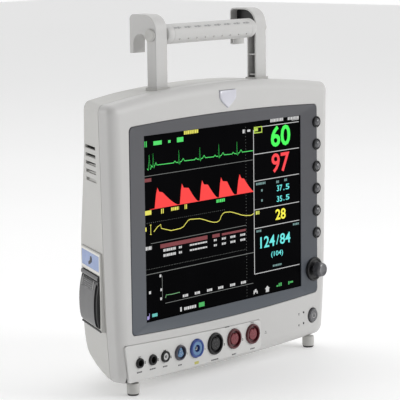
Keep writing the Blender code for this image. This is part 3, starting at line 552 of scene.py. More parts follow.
def panel_outline(grow_by=0.0):
    """The connector panel: its top edge falls to the right and its left edge leans out upwards."""
    left, right_x, low = panel_low[0] - grow_by, panel_high[0] + grow_by, panel_low[2] - grow_by
    top = panel_high[2] + grow_by
    corner, tight, lean, fall = 0.0045, 0.0022, 0.0045, 0.0065
    upper = [(right_x - corner + (left + tight - right_x + corner) * t, top - fall * (1 - t ** 1.5))
             for t in ease(0, 1, 24)]
    left_up = arc((left + tight, upper[-1][1] - tight), tight, 90, 180, 5)[1:]
    left_low = arc((left + lean + tight, low + tight), tight, 180, 270, 5)
    right_low = arc((right_x - corner, low + corner), corner, 270, 360, 5)
    right_up = arc((right_x - corner, upper[0][1] - corner), corner, 0, 90, 5)[:-1]
    return right_up + upper + left_up + left_low + right_low


def lens_outline(grow_by=0.0):
    """A shield with a flat top and a softly pointed foot."""
    half = lens_high[0] + grow_by
    top, low = lens_high[2] + grow_by, lens_low[2] - grow_by
    side = [(half, top), (half, top - 0.006)]
    for t in ease(0.0, 1.0, 10)[1:]:
        side.append((half * math.cos(t * math.pi / 2) ** 0.8, low + (top - 0.006 - low) * (1 - t) ** 0.75))
    return side + [(-x, z) for x, z in reversed(side[:-1])]


def peg(spot, radius, steps=40):
    """A cutter along Y, through the front face."""
    return turned("peg", [(0, 0.03), (radius, 0.03), (radius, -0.03), (0, -0.03)], spot, steps=steps)


KEY_SPOTS = [Vector((centre("menu_button_%d" % (i + 1)).x, FACE_Y, centre("menu_button_%d" % (i + 1)).z))
             for i in range(6)]
KNOB_SPOT = Vector((centre("knob_base").x, FACE_Y, centre("knob_base").z))
KNOB_BASE_R = (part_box("knob_base")[1][0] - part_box("knob_base")[0][0]) / 2
POWER_SPOT = Vector((centre("power_button").x, FACE_Y, centre("power_button").z))
POWER_R = 0.0073
LIGHT_SPOTS = [Vector((centre("status_light").x, FACE_Y, MID_Z + z)) for z in (-0.1203, -0.1321)]

carve(front, plate("panel_pocket", panel_outline(SHADOW_GAP), FACE_Y - 0.02, FACE_Y + 0.02),
      plate("lens_pocket", lens_outline(SHADOW_GAP), FACE_Y - 0.02, FACE_Y + 0.02), solver="MANIFOLD")
for spot in KEY_SPOTS:
    carve(front, peg(spot, COLLAR_R + 0.0002), solver="MANIFOLD")
carve(front, peg(KNOB_SPOT, KNOB_BASE_R + 0.0002), peg(POWER_SPOT, POWER_R + 0.0011), solver="MANIFOLD")
for spot in LIGHT_SPOTS:
    carve(front, peg(spot, 0.0013, 20), solver="MANIFOLD")
for side in ("left", "right"):
    low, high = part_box("handle_sleeve_" + side)
    carve(front, block("sleeve_notch", [low[0] - 0.0003, low[1] - 0.0003, TOP_Z - 0.02],
                       [high[0] + 0.0003, high[1] + 0.0003, TOP_Z + 0.05]), solver="MANIFOLD")
settle(front, "case", "shell", SHELL, "front_housing")
print("front shell faces", len(front.data.polygons))

# %% [markdown]
# ## Rear shell
# The rear moulding is the overlap of two simple outlines: the case outline, narrowing at 30
# degrees as it goes back, and its side view. A Boolean keeps only what both share.

# %% Rear shell
TAPER = math.tan(math.radians(30.0))
PART_LINE = 0.0008
BACK_END = FACE_Y + 0.100


def narrowing(name, inset, y0, y1):
    rings = []
    for y in (y0, y1):
        share = (HALF_TOP - inset - (y - SEAM_Y) * TAPER) / (HALF_TOP - inset)
        rings.append([(x * share, y, z) for x, z in case_outline(inset)])
    return grow(name, rings)


def side_view(name, inset=0.0, half=0.3):
    """The rear moulding from the side, extruded right across."""
    top = shell_high[2] + 0.0010 - inset
    depth = [(0.054, top - 0.0022), (0.0590, top - 0.0070), (0.0605, top - 0.0130), (0.065, MID_Z + 0.076),
             (0.076, MID_Z + 0.025), (0.0835, MID_Z - 0.010), (0.086, MID_Z - 0.030), (0.086, MID_Z - 0.080),
             (0.0855, MID_Z - 0.100), (0.0845, MID_Z - 0.112)]
    belly = [(0.0825, -0.1200), (0.0790, -0.1270), (0.0735, -0.1315), (0.055, -0.1385), (0.034, -0.1435)]
    under = shell_low[2] - 0.005 + inset
    points = [(SEAM_Y - 0.025, top), (FACE_Y + 0.047, top)]
    points += [(FACE_Y + y - inset * (y > 0.05), z) for y, z in depth]
    points += [(FACE_Y + y - inset * (y > 0.056), MID_Z + z + inset) for y, z in belly]
    points += [(FACE_Y + 0.0275 - inset, under), (SEAM_Y - 0.025, under)]
    return grow(name, [[(-half, y, z) for y, z in points], [(half, y, z) for y, z in points]])


def overlap(name, inset, y0, y1):
    body = narrowing(name, inset, y0, y1)
    return carve(body, side_view(name + "_side", inset), operation="INTERSECT", solver="MANIFOLD")


rear = overlap("rear_shell", 0.0, SEAM_Y - 0.012, BACK_END)
soften(rear, 0.0050, 5, 24.0)
inner = overlap("rear_hollow", WALL, SEAM_Y - 0.014, BACK_END + 0.0005)
carve(rear, inner, block("front_half", (-0.3, -0.2, -0.1), (0.3, SEAM_Y + PART_LINE, 0.6)), solver="MANIFOLD")
cover_low, cover_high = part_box("rear_cover")
print("rear shell faces", len(rear.data.polygons))

# %% [markdown]
# The side walls lean, so whatever sits on them is easiest to build flat, in a frame whose X runs
# back along the wall and whose Y points out of it. A matrix then stands the piece on its wall.

# %% Frames on the side walls
MM = 0.001
RECORDER_MID, BATTERY_MID = MID_Z - 0.059, MID_Z - 0.060


def wall_matrix(side, height):
    turn = math.radians(60.0) * -side
    spot = Vector((side * (case_half(height) + 0.0008), FACE_Y + 0.018, MID_Z))
    return Matrix.Translation(spot) @ Matrix.Rotation(turn, 4, "Z")


LEFT_WALL, RIGHT_WALL = wall_matrix(-1, RECORDER_MID), wall_matrix(1, BATTERY_MID)


def stood(obj, matrix):
    obj.data.transform(matrix)
    return obj


def across(name, outline, x0, x1):
    """An outline of (y, z) points, extruded along X."""
    return grow(name, [[(x0, y, z) for y, z in outline], [(x1, y, z) for y, z in outline]])


print("left wall starts at", tuple(round(c, 4) for c in LEFT_WALL.translation))

# %% [markdown]
# The walls carry five shallow louvres each, slanted scoops that let no finger in. One wall has the
# recorder's opening, with the deep joint beside it where the two shells part, and the other has the
# battery bay. All are cut in the wall's own frame.

# %% Openings in the rear shell
OPEN_S, OPEN_L, OPEN_TOP, OPEN_H = 0.0040, 0.0680, -0.0200, 0.0780
BAY_S, BAY_L, BAY_TOP, BAY_H = 0.0120, 0.0500, -0.0300, 0.0600
LOUVRES, LOUVRE_TOP, LOUVRE_PITCH = 5, 0.0815, 0.0080


def cover_outline(inset=0.0):
    """The rear cover from the side."""
    low, high, back = cover_low[2] + inset, cover_high[2] - inset, cover_high[1] - inset
    step, belly = FACE_Y + 0.048 + inset, FACE_Y + 0.062 + inset
    return [(belly, high), (back - 0.008, high - 0.005), (back, high - 0.014), (back, low + 0.007),
            (back - 0.007, low), (belly, low), (step, low + 0.010), (step, low + 0.027 - inset * 2),
            (belly, low + 0.027 - inset * 2)]


rear_cuts = [across("cover_opening", cover_outline(-0.0003), cover_low[0] - 0.0003, cover_high[0] + 0.0003),
             stood(block("recorder_opening", (OPEN_S, -0.02, OPEN_TOP - OPEN_H),
                         (OPEN_S + OPEN_L, 0.02, OPEN_TOP)),
                   LEFT_WALL),
             stood(block("deep_joint", (-0.004, -0.0035, OPEN_TOP - OPEN_H - 0.002),
                         (0.0016, 0.02, OPEN_TOP - 0.004)),
                   LEFT_WALL),
             stood(block("battery_opening", (-BAY_S - BAY_L, -0.02, BAY_TOP - BAY_H),
                         (-BAY_S, 0.02, BAY_TOP)),
                   RIGHT_WALL)]
for wall, sign in ((LEFT_WALL, 1), (RIGHT_WALL, -1)):
    for i in range(LOUVRES):
        z = LOUVRE_TOP - LOUVRE_PITCH * i
        low, high = sorted((sign * 0.014, sign * 0.048))
        lip = [(-0.0009, z + 0.0014), (0.02, z + 0.0014), (0.02, z - 0.0030), (-0.0001, z - 0.0018)]
        rear_cuts.append(stood(across("louvre", lip, low, high), wall))
for side in ("left", "right"):
    low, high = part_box("handle_sleeve_" + side)
    rear_cuts.append(block("sleeve_notch", [low[0] - 0.0003, low[1] - 0.0003, TOP_Z - 0.02],
                           [high[0] + 0.0003, high[1] + 0.0003, TOP_Z + 0.05]))
carve(rear, *rear_cuts, solver="MANIFOLD")
settle(rear, "case", "shell", SHELL_WITH_PAINTED_SHADE, "rear_housing")
print("rear shell faces", len(rear.data.polygons))

# %% [markdown]
# ## Rear cover
# The back comes off as one bulged cover with a flat for a wall bracket. Its outline is extruded
# across, its edges are rounded, and a smaller copy of the same outline hollows it.

# %% Rear cover
HOLE_MID_Z, HOLE_HALF, HOLE_R = MID_Z - 0.052, 0.050, 0.0023
inlet_low, inlet_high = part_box("mains_inlet")
cover = across("rear_cover_shell", cover_outline(), cover_low[0], cover_high[0])
soften(cover, 0.0022, 4, 20.0)
hollow = across("cover_hollow", [(y - 0.004 * (y < FACE_Y + 0.063), z) for y, z in cover_outline(WALL)],
                cover_low[0] + WALL, cover_high[0] - WALL)
carve(cover, hollow, solver="MANIFOLD")
holes = [turned("hole", [(0, 0.02), (HOLE_R, 0.02), (HOLE_R, -0.02), (0, -0.02)],
                (sx * HOLE_HALF, cover_high[1], HOLE_MID_Z + sz * HOLE_HALF), (0, 1, 0), 24)
         for sx in (-1, 1) for sz in (-1, 1)]
holes.append(plate("inlet_opening", rounded((inlet_low[0] - 0.0003, inlet_low[2] - 0.0003),
                                            (inlet_high[0] + 0.0003, inlet_high[2] + 0.0003), 0.002),
                   cover_high[1] - 0.02, cover_high[1] + 0.02))
holes.append(plate("label_recess", rounded((-0.030, HOLE_MID_Z - 0.018), (0.030, HOLE_MID_Z + 0.018), 0.003),
                   cover_high[1] - 0.0005, cover_high[1] + 0.02))
for i in range(9):
    x = -0.032 + 0.008 * i
    holes.append(plate("vent", rounded((x - 0.0012, HOLE_MID_Z + 0.028), (x + 0.0012, HOLE_MID_Z + 0.062),
                                       0.0011),
                       cover_high[1] - 0.02, cover_high[1] + 0.02))
carve(cover, *holes, solver="MANIFOLD")
settle(cover, "case", "shell", SHELL_WITH_PAINTED_SHADE, "rear_cover")
label = plate("rear_label", rounded((-0.0295, HOLE_MID_Z - 0.0175), (0.0295, HOLE_MID_Z + 0.0175), 0.0025),
              cover_high[1] - 0.0004, cover_high[1] - 0.0001)
settle(label, "case", "shell", PAPER)
print("cover faces", len(cover.data.polygons))

# %% [markdown]
# The mains inlet is a shrouded socket: a moulded well with three flat pins standing in it.

# %% Mains inlet
mid = centre("mains_inlet")
back = inlet_high[1]
inlet = plate("inlet_shroud", rounded((inlet_low[0], inlet_low[2]), (inlet_high[0], inlet_high[2]), 0.0018),
              inlet_low[1], back)
well = [(-0.0113, -0.0072), (0.0113, -0.0072), (0.0113, 0.0042), (0.0080, 0.0080), (-0.0080, 0.0080),
        (-0.0113, 0.0042)]
carve(inlet, plate("well", [(mid.x + x, mid.z + z) for x, z in well], back - 0.0160, back + 0.01))
soften(inlet, 0.0004, 2)
settle(inlet, "case", "black", SOCKET_BLACK, "mains_inlet")
pins = [block("pin", (mid.x + x - 0.0010, back - 0.0165, mid.z + z - 0.0020),
              (mid.x + x + 0.0010, back - 0.0015, mid.z + z + 0.0020))
         for x, z in ((-0.0070, -0.001), (0.0, 0.003), (0.0070, -0.001))]
pins = together("inlet_pins", *pins)
soften(pins, 0.0003, 2)
settle(pins, "case", "steel", BRASS)

# %% [markdown]
# ## Surround and screen
# The dark surround is a picture frame whose four sides slope down to the glass and meet in
# mitres. The outer outline shrinks to a rectangle, and a Boolean opens the window.

# %% Screen surround
FRAME_BACK, FRAME_FRONT, FRAME_LIP = SURROUND_HIGH[1], SURROUND_LOW[1], SCREEN_Y - 0.0012


def window_point(x, z):
    """Where a point of the outer outline lands on the window's edge."""
    reach_x, reach_z = SURROUND_HIGH[0] - 0.0070, (SURROUND_HIGH[2] - SURROUND_LOW[2]) / 2 - 0.0120
    share_x = max(-1.0, min(1.0, x / reach_x))
    share_z = max(-1.0, min(1.0, (z - MID_Z) / reach_z))
    return share_x * SCREEN_X, MID_Z + share_z * SCREEN_H


outer = surround_outline()
tight = surround_outline(-0.0006)
surround = grow("surround_frame", [
    [(x, FRAME_BACK, z) for x, z in outer], [(x, FRAME_FRONT + 0.0006, z) for x, z in outer],
    [(x, FRAME_FRONT, z) for x, z in tight],
    [(x, FRAME_LIP, z) for x, z in (window_point(*spot) for spot in outer)]])
lone(surround)
bpy.ops.object.mode_set(mode="EDIT")
bpy.ops.mesh.select_all(action="SELECT")
bpy.ops.mesh.remove_doubles(threshold=0.00001)
bpy.ops.object.mode_set(mode="OBJECT")
carve(surround, block("window", (-SCREEN_X + 0.0002, FRAME_FRONT - 0.01, MID_Z - SCREEN_H + 0.0002),
                      (SCREEN_X - 0.0002, FRAME_BACK + 0.01, MID_Z + SCREEN_H - 0.0002)))
for spot in KEY_SPOTS:
    carve(surround, peg(spot, COLLAR_R + 0.0002))
carve(surround, peg(KNOB_SPOT, KNOB_BASE_R + 0.0002))
settle(surround, "case", "surround", SURROUND, "screen_surround")
print("surround faces", len(surround.data.polygons))

# %% [markdown]
# What the screen shows is drawn as geometry just in front of the glass: bars, traces and
# numerals, each colour one glowing ink. Places are in millimetres from the screen's middle.

# %% Drawing on the screen
INK_FRONT, INK_BACK = SCREEN_Y - 0.00018, SCREEN_Y - 0.00006


def bar(x0, z0, x1, z1, front=INK_FRONT, back=INK_BACK):
    """A flat rectangle on the glass, corners in millimetres."""
    return block("bar", (x0 * MM, front, MID_Z + z0 * MM), (x1 * MM, back, MID_Z + z1 * MM))


def pressed(obj, front=INK_FRONT, back=INK_BACK):
    """Squeeze a raised drawing flat, between two depths."""
    ys = [v.co.y for v in obj.data.vertices]
    low, high = min(ys), max(ys)
    for vertex in obj.data.vertices:
        vertex.co.y = front + (back - front) * (vertex.co.y - low) / (high - low)
    return obj


def welded(obj):
    bpy.ops.object.mode_set(mode="EDIT")
    bpy.ops.mesh.select_all(action="SELECT")
    bpy.ops.mesh.remove_doubles(threshold=0.0000005)
    bpy.ops.mesh.normals_make_consistent(inside=False)
    bpy.ops.object.mode_set(mode="OBJECT")
    return obj


def trace(points, width=0.8):
    """A drawn line through points in millimetres: a thin tube, made a mesh and pressed flat."""
    free()
    bpy.ops.curve.primitive_bezier_curve_add()
    line = bpy.context.object
    line.data.splines.clear()
    spline = line.data.splines.new("POLY")
    spline.points.add(len(points) - 1)
    for point, (x, z) in zip(spline.points, points):
        point.co = (x * MM, 0.0, MID_Z + z * MM, 1.0)
    line.data.bevel_depth = width * MM / 2
    line.data.bevel_resolution = 1
    line.data.use_fill_caps = True
    bpy.ops.object.convert(target="MESH")
    return pressed(welded(bpy.context.object))


def digits(body, x0, z0, x1, z1, bold=0.0, front=INK_FRONT, back=INK_BACK):
    """Numerals stretched to fill a box, given in millimetres."""
    free()
    bpy.ops.object.text_add()
    text = bpy.context.object
    text.data.body = body
    text.data.extrude = 0.02
    text.data.offset = bold
    text.data.resolution_u = 3
    bpy.ops.object.convert(target="MESH")
    obj = welded(bpy.context.object)
    xs = [v.co.x for v in obj.data.vertices]
    ys = [v.co.y for v in obj.data.vertices]
    for vertex in obj.data.vertices:
        across_share = (vertex.co.x - min(xs)) / (max(xs) - min(xs))
        up_share = (vertex.co.y - min(ys)) / (max(ys) - min(ys))
        vertex.co = ((x0 + (x1 - x0) * across_share) * MM, -vertex.co.z,
                     MID_Z + (z0 + (z1 - z0) * up_share) * MM)
    return pressed(obj, front, back)


def dashes(x0, x1, z, tall, widths=(2.2, 1.4, 2.8, 1.8)):
    """A row of short bars that stands for small print."""
    out, x, i = [], x0, 0
    while x < x1 - 0.4:
        width = min(widths[i % len(widths)], x1 - x)
        out.append(bar(x, z - tall / 2, x + width, z + tall / 2))
        x += width + 0.7
        i += 1
    return out


def dots(x0, z0, x1, z1, gap):
    """A dotted line."""
    count = int(math.hypot(x1 - x0, z1 - z0) / gap)
    return [bar(x0 + (x1 - x0) * i / count - 0.3, z0 + (z1 - z0) * i / count - 0.25,
                x0 + (x1 - x0) * i / count + 0.3, z0 + (z1 - z0) * i / count + 0.25)
            for i in range(count + 1)]


def lit(name, colour, strength, pieces):
    """Join one colour's drawing into one piece."""
    obj = together("screen_" + name, *pieces)
    finish = lamp("ink_" + name, colour, strength)
    return settle(obj, "case", "screen", finish, flat=False)


def beat(x, base, height, wide=1.0):
    """One heartbeat of the trace: small wave, tall spike, dip and a rounded wave after."""
    wave = [(x - 8.0 * wide, base), (x - 6.0 * wide, base + 1.6), (x - 4.0 * wide, base), (x - 1.4, base),
            (x - 0.9, base - 1.2), (x, base + height), (x + 1.0, base - 2.0), (x + 1.8, base)]
    return wave + [(x + 4.0 * wide, base + 0.4), (x + 6.5 * wide, base + 3.0), (x + 8.5 * wide, base + 0.4)]


# %% Lit drawing, left part of the screen
BASE = 61.5
heart = [(-117.5, BASE - 2)] + [(-116.0, BASE - 3.5), (-114.4, BASE + 11.5), (-113.2, BASE - 3.0),
                                (-111.0, BASE - 0.5)]
for spot, wide in ((-108.8, 0.6), (-71.0, 1.0), (-39.3, 1.0), (-10.0, 1.0), (18.6, 1.0)):
    heart += beat(spot, BASE, 11.8, wide)
heart.append((44.6, BASE + 0.3))
heart = [heart[0]] + [b for a, b in zip(heart, heart[1:]) if b[0] > a[0]]
green = [trace(heart, 0.95)]
green += [bar(-108.0, 81.5, -96.0, 85.5), bar(-73.5, 81.3, -64.0, 86.0), bar(-120.8, 80.8, -119.9, 86.5),
          bar(-118.7, 80.8, -117.8, 86.5), bar(-86.5, 82.0, -83.0, 84.6)]
green += dashes(-14.5, -1.5, 15.8, 3.2)
lit("green", (0.05, 0.80, 0.12), 0.9, green)

pulse = []
PULSE_BASE, PULSE_TALL = 19.4, 20.0
for start, peak, notch, stop in ((-107.7, -103.3, -96.0, -73.9), (-70.4, -67.0, -57.0, -43.2),
                                 (-40.3, -36.4, -27.5, -13.0), (-10.5, -7.0, 2.5, 14.1),
                                 (17.8, 22.4, 29.5, 44.6)):
    shoulder = PULSE_BASE + PULSE_TALL * 0.74
    outline = [(start, PULSE_BASE), (start + (peak - start) * 0.55, PULSE_BASE + PULSE_TALL * 0.70),
               (peak, PULSE_BASE + PULSE_TALL), (peak + 2.6, shoulder + 1.0), (notch, shoulder)]
    outline += [(notch + (stop - notch) * t, PULSE_BASE + (shoulder - PULSE_BASE) * (1 - t) ** 1.25)
                for t in (0.2, 0.4, 0.6, 0.8)]
    outline.append((stop, PULSE_BASE))
    pulse.append(plate("pulse", [(x * MM, MID_Z + z * MM) for x, z in outline], INK_FRONT, INK_BACK))
pulse.append(bar(-114.4, PULSE_BASE - 0.5, 44.6, PULSE_BASE))
lit("red", (1.0, 0.015, 0.012), 1.0, pulse)

breath = [(-109.4, -3.4), (-104.0, 0.8), (-99.2, 2.6), (-98.4, -1.4), (-84.0, -5.4), (-70.0, -5.0),
          (-65.5, -3.8), (-61.6, -0.8), (-58.5, 1.6), (-55.0, 2.3), (-40.6, 1.2), (-33.5, -0.8),
          (-26.6, -3.2), (-20.0, -5.0), (-14.7, -5.6), (-11.5, -5.0), (-9.3, -3.6), (-7.4, -0.4),
          (-4.5, 2.0), (-1.3, 2.9), (7.2, 2.3), (13.5, 0.6), (19.3, -1.2), (25.5, -3.2),
          (31.6, -4.4), (39.1, -5.2), (42.5, -4.8), (45.0, -3.8)]
yellow = [trace(breath, 0.9), bar(-123.0, 14.0, -112.6, 18.4), bar(-98.3, 13.2, -97.1, 18.0),
          bar(-95.9, 13.2, -94.7, 18.0), bar(-63.3, 13.6, -62.2, 18.2), bar(-61.2, 13.6, -60.0, 18.2),
          bar(-123.0, -1.8, -120.0, 2.2), bar(-114.1, -5.5, -113.5, 3.9), bar(-114.9, 3.5, -112.7, 4.1),
          bar(-114.9, -5.7, -112.7, -5.1)]
yellow += dashes(-83.5, -72.0, 15.8, 3.2) + dashes(-62.8, -41.0, 89.8, 3.6)
lit("yellow", (0.92, 0.86, 0.10), 0.85, yellow)

grey = [bar(-122.8, 52.0, 44.6, 52.5), bar(-114.0, -14.9, 32.0, -14.4), bar(-122.4, -45.1, 44.6, -44.5),
        bar(-98.5, -72.0, -98.0, -48.6), bar(-94.0, -77.3, 43.0, -76.8)]
grey += (dots(32.6, 87.0, 32.6, -89.0, 3.2) + dots(-121.3, -39.8, 32.0, -39.8, 2.4)
         + dots(-122.0, 6.0, -2.5, 5.6, 3.0))
lit("grey", (0.16, 0.17, 0.16), 0.9, grey)

white = dashes(-121.9, -112.8, -18.8, 3.4) + [
    bar(-102.0, -49.8, -99.6, -47.2), bar(-101.0, -63.8, -98.8, -61.2),
    bar(-101.4, -72.8, -99.2, -70.2), bar(-117.6, -64.4, -115.0, -61.6)]
for z in (-23.8, -29.0):
    white += dashes(-95.8, -77.6, z, 2.6) + dashes(-72.8, -67.8, z, 2.2) + dashes(-19.2, -13.8, z, 2.0)
    white += dashes(-6.6, -0.5, z, 2.2) + dashes(6.8, 15.3, z, 2.2) + dashes(22.7, 31.4, z, 2.2)
    white += dashes(-56.3, -29.9, z, 1.6, (3.4, 2.4, 4.0))
for x in (-67.8, -49.6, -30.6, -13.2, 5.7, 23.2):
    white += dashes(x, x + 8.6, -73.8, 2.6)
white += dashes(28.0, 31.6, 83.0, 3.8) + [bar(35.6, 82.0, 40.2, 84.2), bar(-72.0, -89.0, -69.8, -84.6)]
white += dashes(-66.0, -48.0, -87.0, 3.0)
lit("white", (0.75, 0.75, 0.75), 0.8, white)
lit("dark_red", (0.20, 0.010, 0.018), 0.9, [bar(-100.2, -21.2, -29.2, -17.2), bar(-21.5, -21.0, -10.1, -17.6),
                                            bar(-6.6, -20.4, 31.4, -18.2), bar(-122.0, 46.5, -112.0, 50.0)])
lit("trend", (0.20, 0.55, 0.22), 0.8, [trace([(-93.5, -71.8), (-92.8, -68.8), (-84.0, -69.4),
                                              (-72.3, -69.2)], 0.7)])
lit("teal", (0.12, 0.62, 0.56), 0.8, [bar(-113.6, -88.0, -106.0, -84.8)])
lit("violet", (0.45, 0.38, 0.85), 0.8, [bar(-120.8, -89.6, -118.6, -86.2),
                                        trace([(-117.8, -89.0), (-117.6, -83.6)], 0.8)])
lit("deep_green", (0.03, 0.45, 0.08), 0.9, [bar(-43.5, -89.0, -35.0, -84.4), bar(81.8, -86.8, 84.6, -85.2),
                                            bar(85.4, -86.8, 87.2, -83.4), bar(88.2, -86.8, 90.3, -83.2),
                                            bar(101.7, -87.2, 103.6, -83.8), bar(104.4, -86.0, 109.8, -84.2)])
print("traces drawn")

# %% Lit drawing, numbers on the right
rules = [bar(45.0, -68.0, 45.8, 83.0), bar(59.8, 85.0, 121.0, 85.7), bar(109.0, 87.6, 121.0, 88.1)]
rules += [bar(45.4, z - 0.35, 121.0, z + 0.35) for z in (57.5, 29.6, -0.4, -20.1, -68.0)]
rules += dashes(73.2, 95.2, 90.3, 3.4) + dashes(102.4, 121.0, 90.0, 3.0)
house = [(62.3, -86.4), (66.3, -83.2), (70.3, -86.4), (69.0, -86.4), (69.0, -89.8), (63.8, -89.8),
         (63.8, -86.4)]
rules += [plate("house", [(x * MM, MID_Z + z * MM) for x, z in house], INK_FRONT, INK_BACK),
          bar(43.6, -89.0, 45.2, -85.2), bar(45.6, -87.4, 48.2, -84.0), bar(48.6, -89.0, 50.0, -86.0)]
lit("rules", (0.70, 0.70, 0.70), 0.8, rules)
lit("big_green", (0.02, 0.90, 0.06), 1.1, [digits("60", 73.9, 62.3, 106.5, 84.4, 0.022)])
lit("big_red", (1.0, 0.02, 0.03), 1.0, [digits("97", 74.7, 35.0, 104.7, 55.4, 0.016)])
lit("lime", (0.55, 0.78, 0.06), 0.85, [bar(46.2, 79.2, 59.6, 80.2), bar(46.2, 85.0, 59.6, 86.0),
                                       bar(46.2, 80.2, 47.4, 85.0),
                                      bar(58.4, 80.2, 59.6, 85.0), bar(47.4, 81.4, 52.6, 84.6)])
cyan = [digits("37", 83.3, 14.9, 92.2, 21.4, 0.012), digits("5", 98.2, 15.3, 104.4, 21.2, 0.012),
        digits("35", 83.3, 3.6, 92.2, 9.8, 0.012), digits("5", 98.2, 4.2, 104.4, 9.8, 0.012),
        digits("124", 55.2, -42.2, 79.2, -30.2, 0.014), digits("/", 81.6, -41.4, 86.4, -31.4),
        digits("84", 88.0, -42.0, 105.7, -30.6, 0.014), digits("(104)", 73.1, -54.8, 92.9, -48.0, 0.008)]
cyan += [bar(94.6, 15.0, 95.8, 16.2), bar(94.6, 4.0, 95.8, 5.2)]
lit("cyan", (0.12, 0.85, 0.82), 0.95, cyan)
dim = dashes(49.0, 64.5, 26.2, 2.4) + dashes(82.4, 87.6, 25.0, 2.6) + dashes(96.0, 101.0, 25.6, 2.6)
dim += dashes(75.8, 90.5, -63.4, 2.0) + dashes(49.0, 57.3, -23.4, 2.2) + dashes(110.3, 120.4, -23.6, 2.2)
dim += [bar(57.2, 17.6, 59.6, 20.0), bar(57.2, 7.0, 59.6, 9.4)]
lit("dim_cyan", (0.16, 0.32, 0.31), 0.8, dim)
lit("big_yellow", (1.0, 0.92, 0.03), 1.0, [digits("28", 80.8, -15.4, 97.9, -4.0, 0.020)])
lit("mark_yellow", (0.75, 0.80, 0.10), 0.85, dashes(48.2, 54.0, -3.8, 3.6))
print("numbers drawn")

# %% [markdown]
# ## Keys, knob, power button and lights
# Each soft key is a domed cap in a collar that stands a little proud. All six are turned from the
# same two lathe profiles, so they match.

# %% Soft keys
CAP_R = (key_high[2] - key_low[2]) / 2 - 0.0010
CAP_TOP = FACE_Y - key_low[1]
dome = [(0.0, CAP_TOP)] + [(CAP_R * math.sin(a), CAP_TOP - 0.0026 * (1 - math.cos(a)) * 1.4)
                           for a in [math.radians(8 * i) for i in range(1, 9)]]
dome += [(CAP_R, CAP_TOP - 0.0030), (CAP_R, -0.0060), (0.0, -0.0060)]
collar = [(CAP_R + 0.0002, 0.0009), (CAP_R + 0.0005, 0.0014), (COLLAR_R - 0.0005, 0.0016), (COLLAR_R, 0.0011),
          (COLLAR_R, -0.0046), (CAP_R + 0.0002, -0.0046)]
collars = []
for i, spot in enumerate(KEY_SPOTS):
    name = "menu_button_%d" % (i + 1)
    key = turned("key_cap_%d" % (i + 1), dome, spot)
    settle(key, name, "cap", CAP, name)
    collars.append(turned("collar", collar, spot, ring=True))
settle(together("key_collars", *collars), "case", "black", BLACK, "menu_key_strip")
print("keys", len(KEY_SPOTS))

# %% [markdown]
# The rotary knob has fine flutes for wet gloves. A ring of thin cutters, set out by angle, cuts
# them into a turned cap with a dished front.

# %% Knob and its base
KNOB_FRONT = FACE_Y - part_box("knob")[0][1]
KNOB_CAP_R = (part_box("knob")[1][0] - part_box("knob")[0][0]) / 2
knob_cap = [(0.0, KNOB_FRONT - 0.0008), (0.0040, KNOB_FRONT - 0.0006), (0.0054, KNOB_FRONT - 0.0001),
            (0.0060, KNOB_FRONT), (0.0068, KNOB_FRONT - 0.0004), (KNOB_CAP_R - 0.0003, KNOB_FRONT - 0.0016),
            (KNOB_CAP_R, KNOB_FRONT - 0.0030), (KNOB_CAP_R, 0.0034), (KNOB_CAP_R - 0.0004, 0.0031),
            (0.0034, 0.0031), (0.0034, 0.0090), (0.0, 0.0090)]
knob = turned("knob_cap", knob_cap, KNOB_SPOT, steps=96)
FLUTES = 30
flutes = []
for i in range(FLUTES):
    angle = 2 * math.pi * i / FLUTES
    spot = KNOB_SPOT + Vector((math.cos(angle), 0, math.sin(angle))) * (KNOB_CAP_R + 0.00025)
    flutes.append(turned("flute", [(0, 0.0092), (0.00055, 0.0088), (0.00055, 0.0), (0, 0.0)], spot, steps=10))
carve(knob, together("flutes", *flutes))
settle(knob, "knob", "cap", CAP, "knob")
BASE_R = KNOB_BASE_R
dish = [(0.0042, 0.0002), (BASE_R - 0.0026, 0.0002), (BASE_R - 0.0018, 0.0013), (BASE_R - 0.0010, 0.0015),
        (BASE_R - 0.0002, 0.0009), (BASE_R, 0.0003), (BASE_R, -0.0034), (0.0042, -0.0034)]
base = turned("knob_dish", dish, KNOB_SPOT, steps=72, ring=True)
settle(base, "case", "black", BLACK, "knob_base")
print("knob faces", len(knob.data.polygons))

# %% [markdown]
# The power button is a shallow metallic cap with a generic standby mark: an open ring and a bar.
# Beside it two small lamps shine through the front on light pipes.

# %% Power button and lamps
POWER_TOP = FACE_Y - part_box("power_button")[0][1]
button = [(0.0, POWER_TOP - 0.0003), (POWER_R - 0.0022, POWER_TOP - 0.0002), (POWER_R - 0.0012, POWER_TOP),
          (POWER_R - 0.0004, POWER_TOP - 0.0006), (POWER_R, POWER_TOP - 0.0014), (POWER_R, -0.0060),
          (0.0, -0.0060)]
power = turned("power_cap", button, POWER_SPOT, steps=64)
settle(power, "power_button", "cap", CAP, "power_button")
mark_y = POWER_SPOT.y - POWER_TOP + 0.0002
loop = [(POWER_SPOT.x / MM + 2.6 * math.cos(a), (POWER_SPOT.z - MID_Z) / MM + 2.6 * math.sin(a))
        for a in [math.radians(125 + 290 * i / 24) for i in range(25)]]
stem = [(POWER_SPOT.x / MM, (POWER_SPOT.z - MID_Z) / MM + 0.6),
        (POWER_SPOT.x / MM, (POWER_SPOT.z - MID_Z) / MM + 3.4)]
mark = together("power_mark", trace(loop, 0.5), trace(stem, 0.5))
pressed(mark, mark_y - 0.0003, mark_y + 0.0001)
settle(mark, "power_button", "cap", WHITE_INK, flat=False)
LAMP_R = 0.0011
lamps = [turned("lamp", [(0.0, 0.0004), (LAMP_R * 0.7, 0.0003), (LAMP_R, 0.0), (LAMP_R, -0.0045),
                         (0.0, -0.0045)],
                spot, steps=20) for spot in LIGHT_SPOTS]
settle(together("status_lamps", *lamps), "case", "lens", BLACK, "status_light")
print("lamps", len(lamps))

# %% [markdown]
# The alarm lamp is a crowned shield of milky plastic. Its outline shrinks in steps as it rises,
# which gives the cut edges that catch the light.

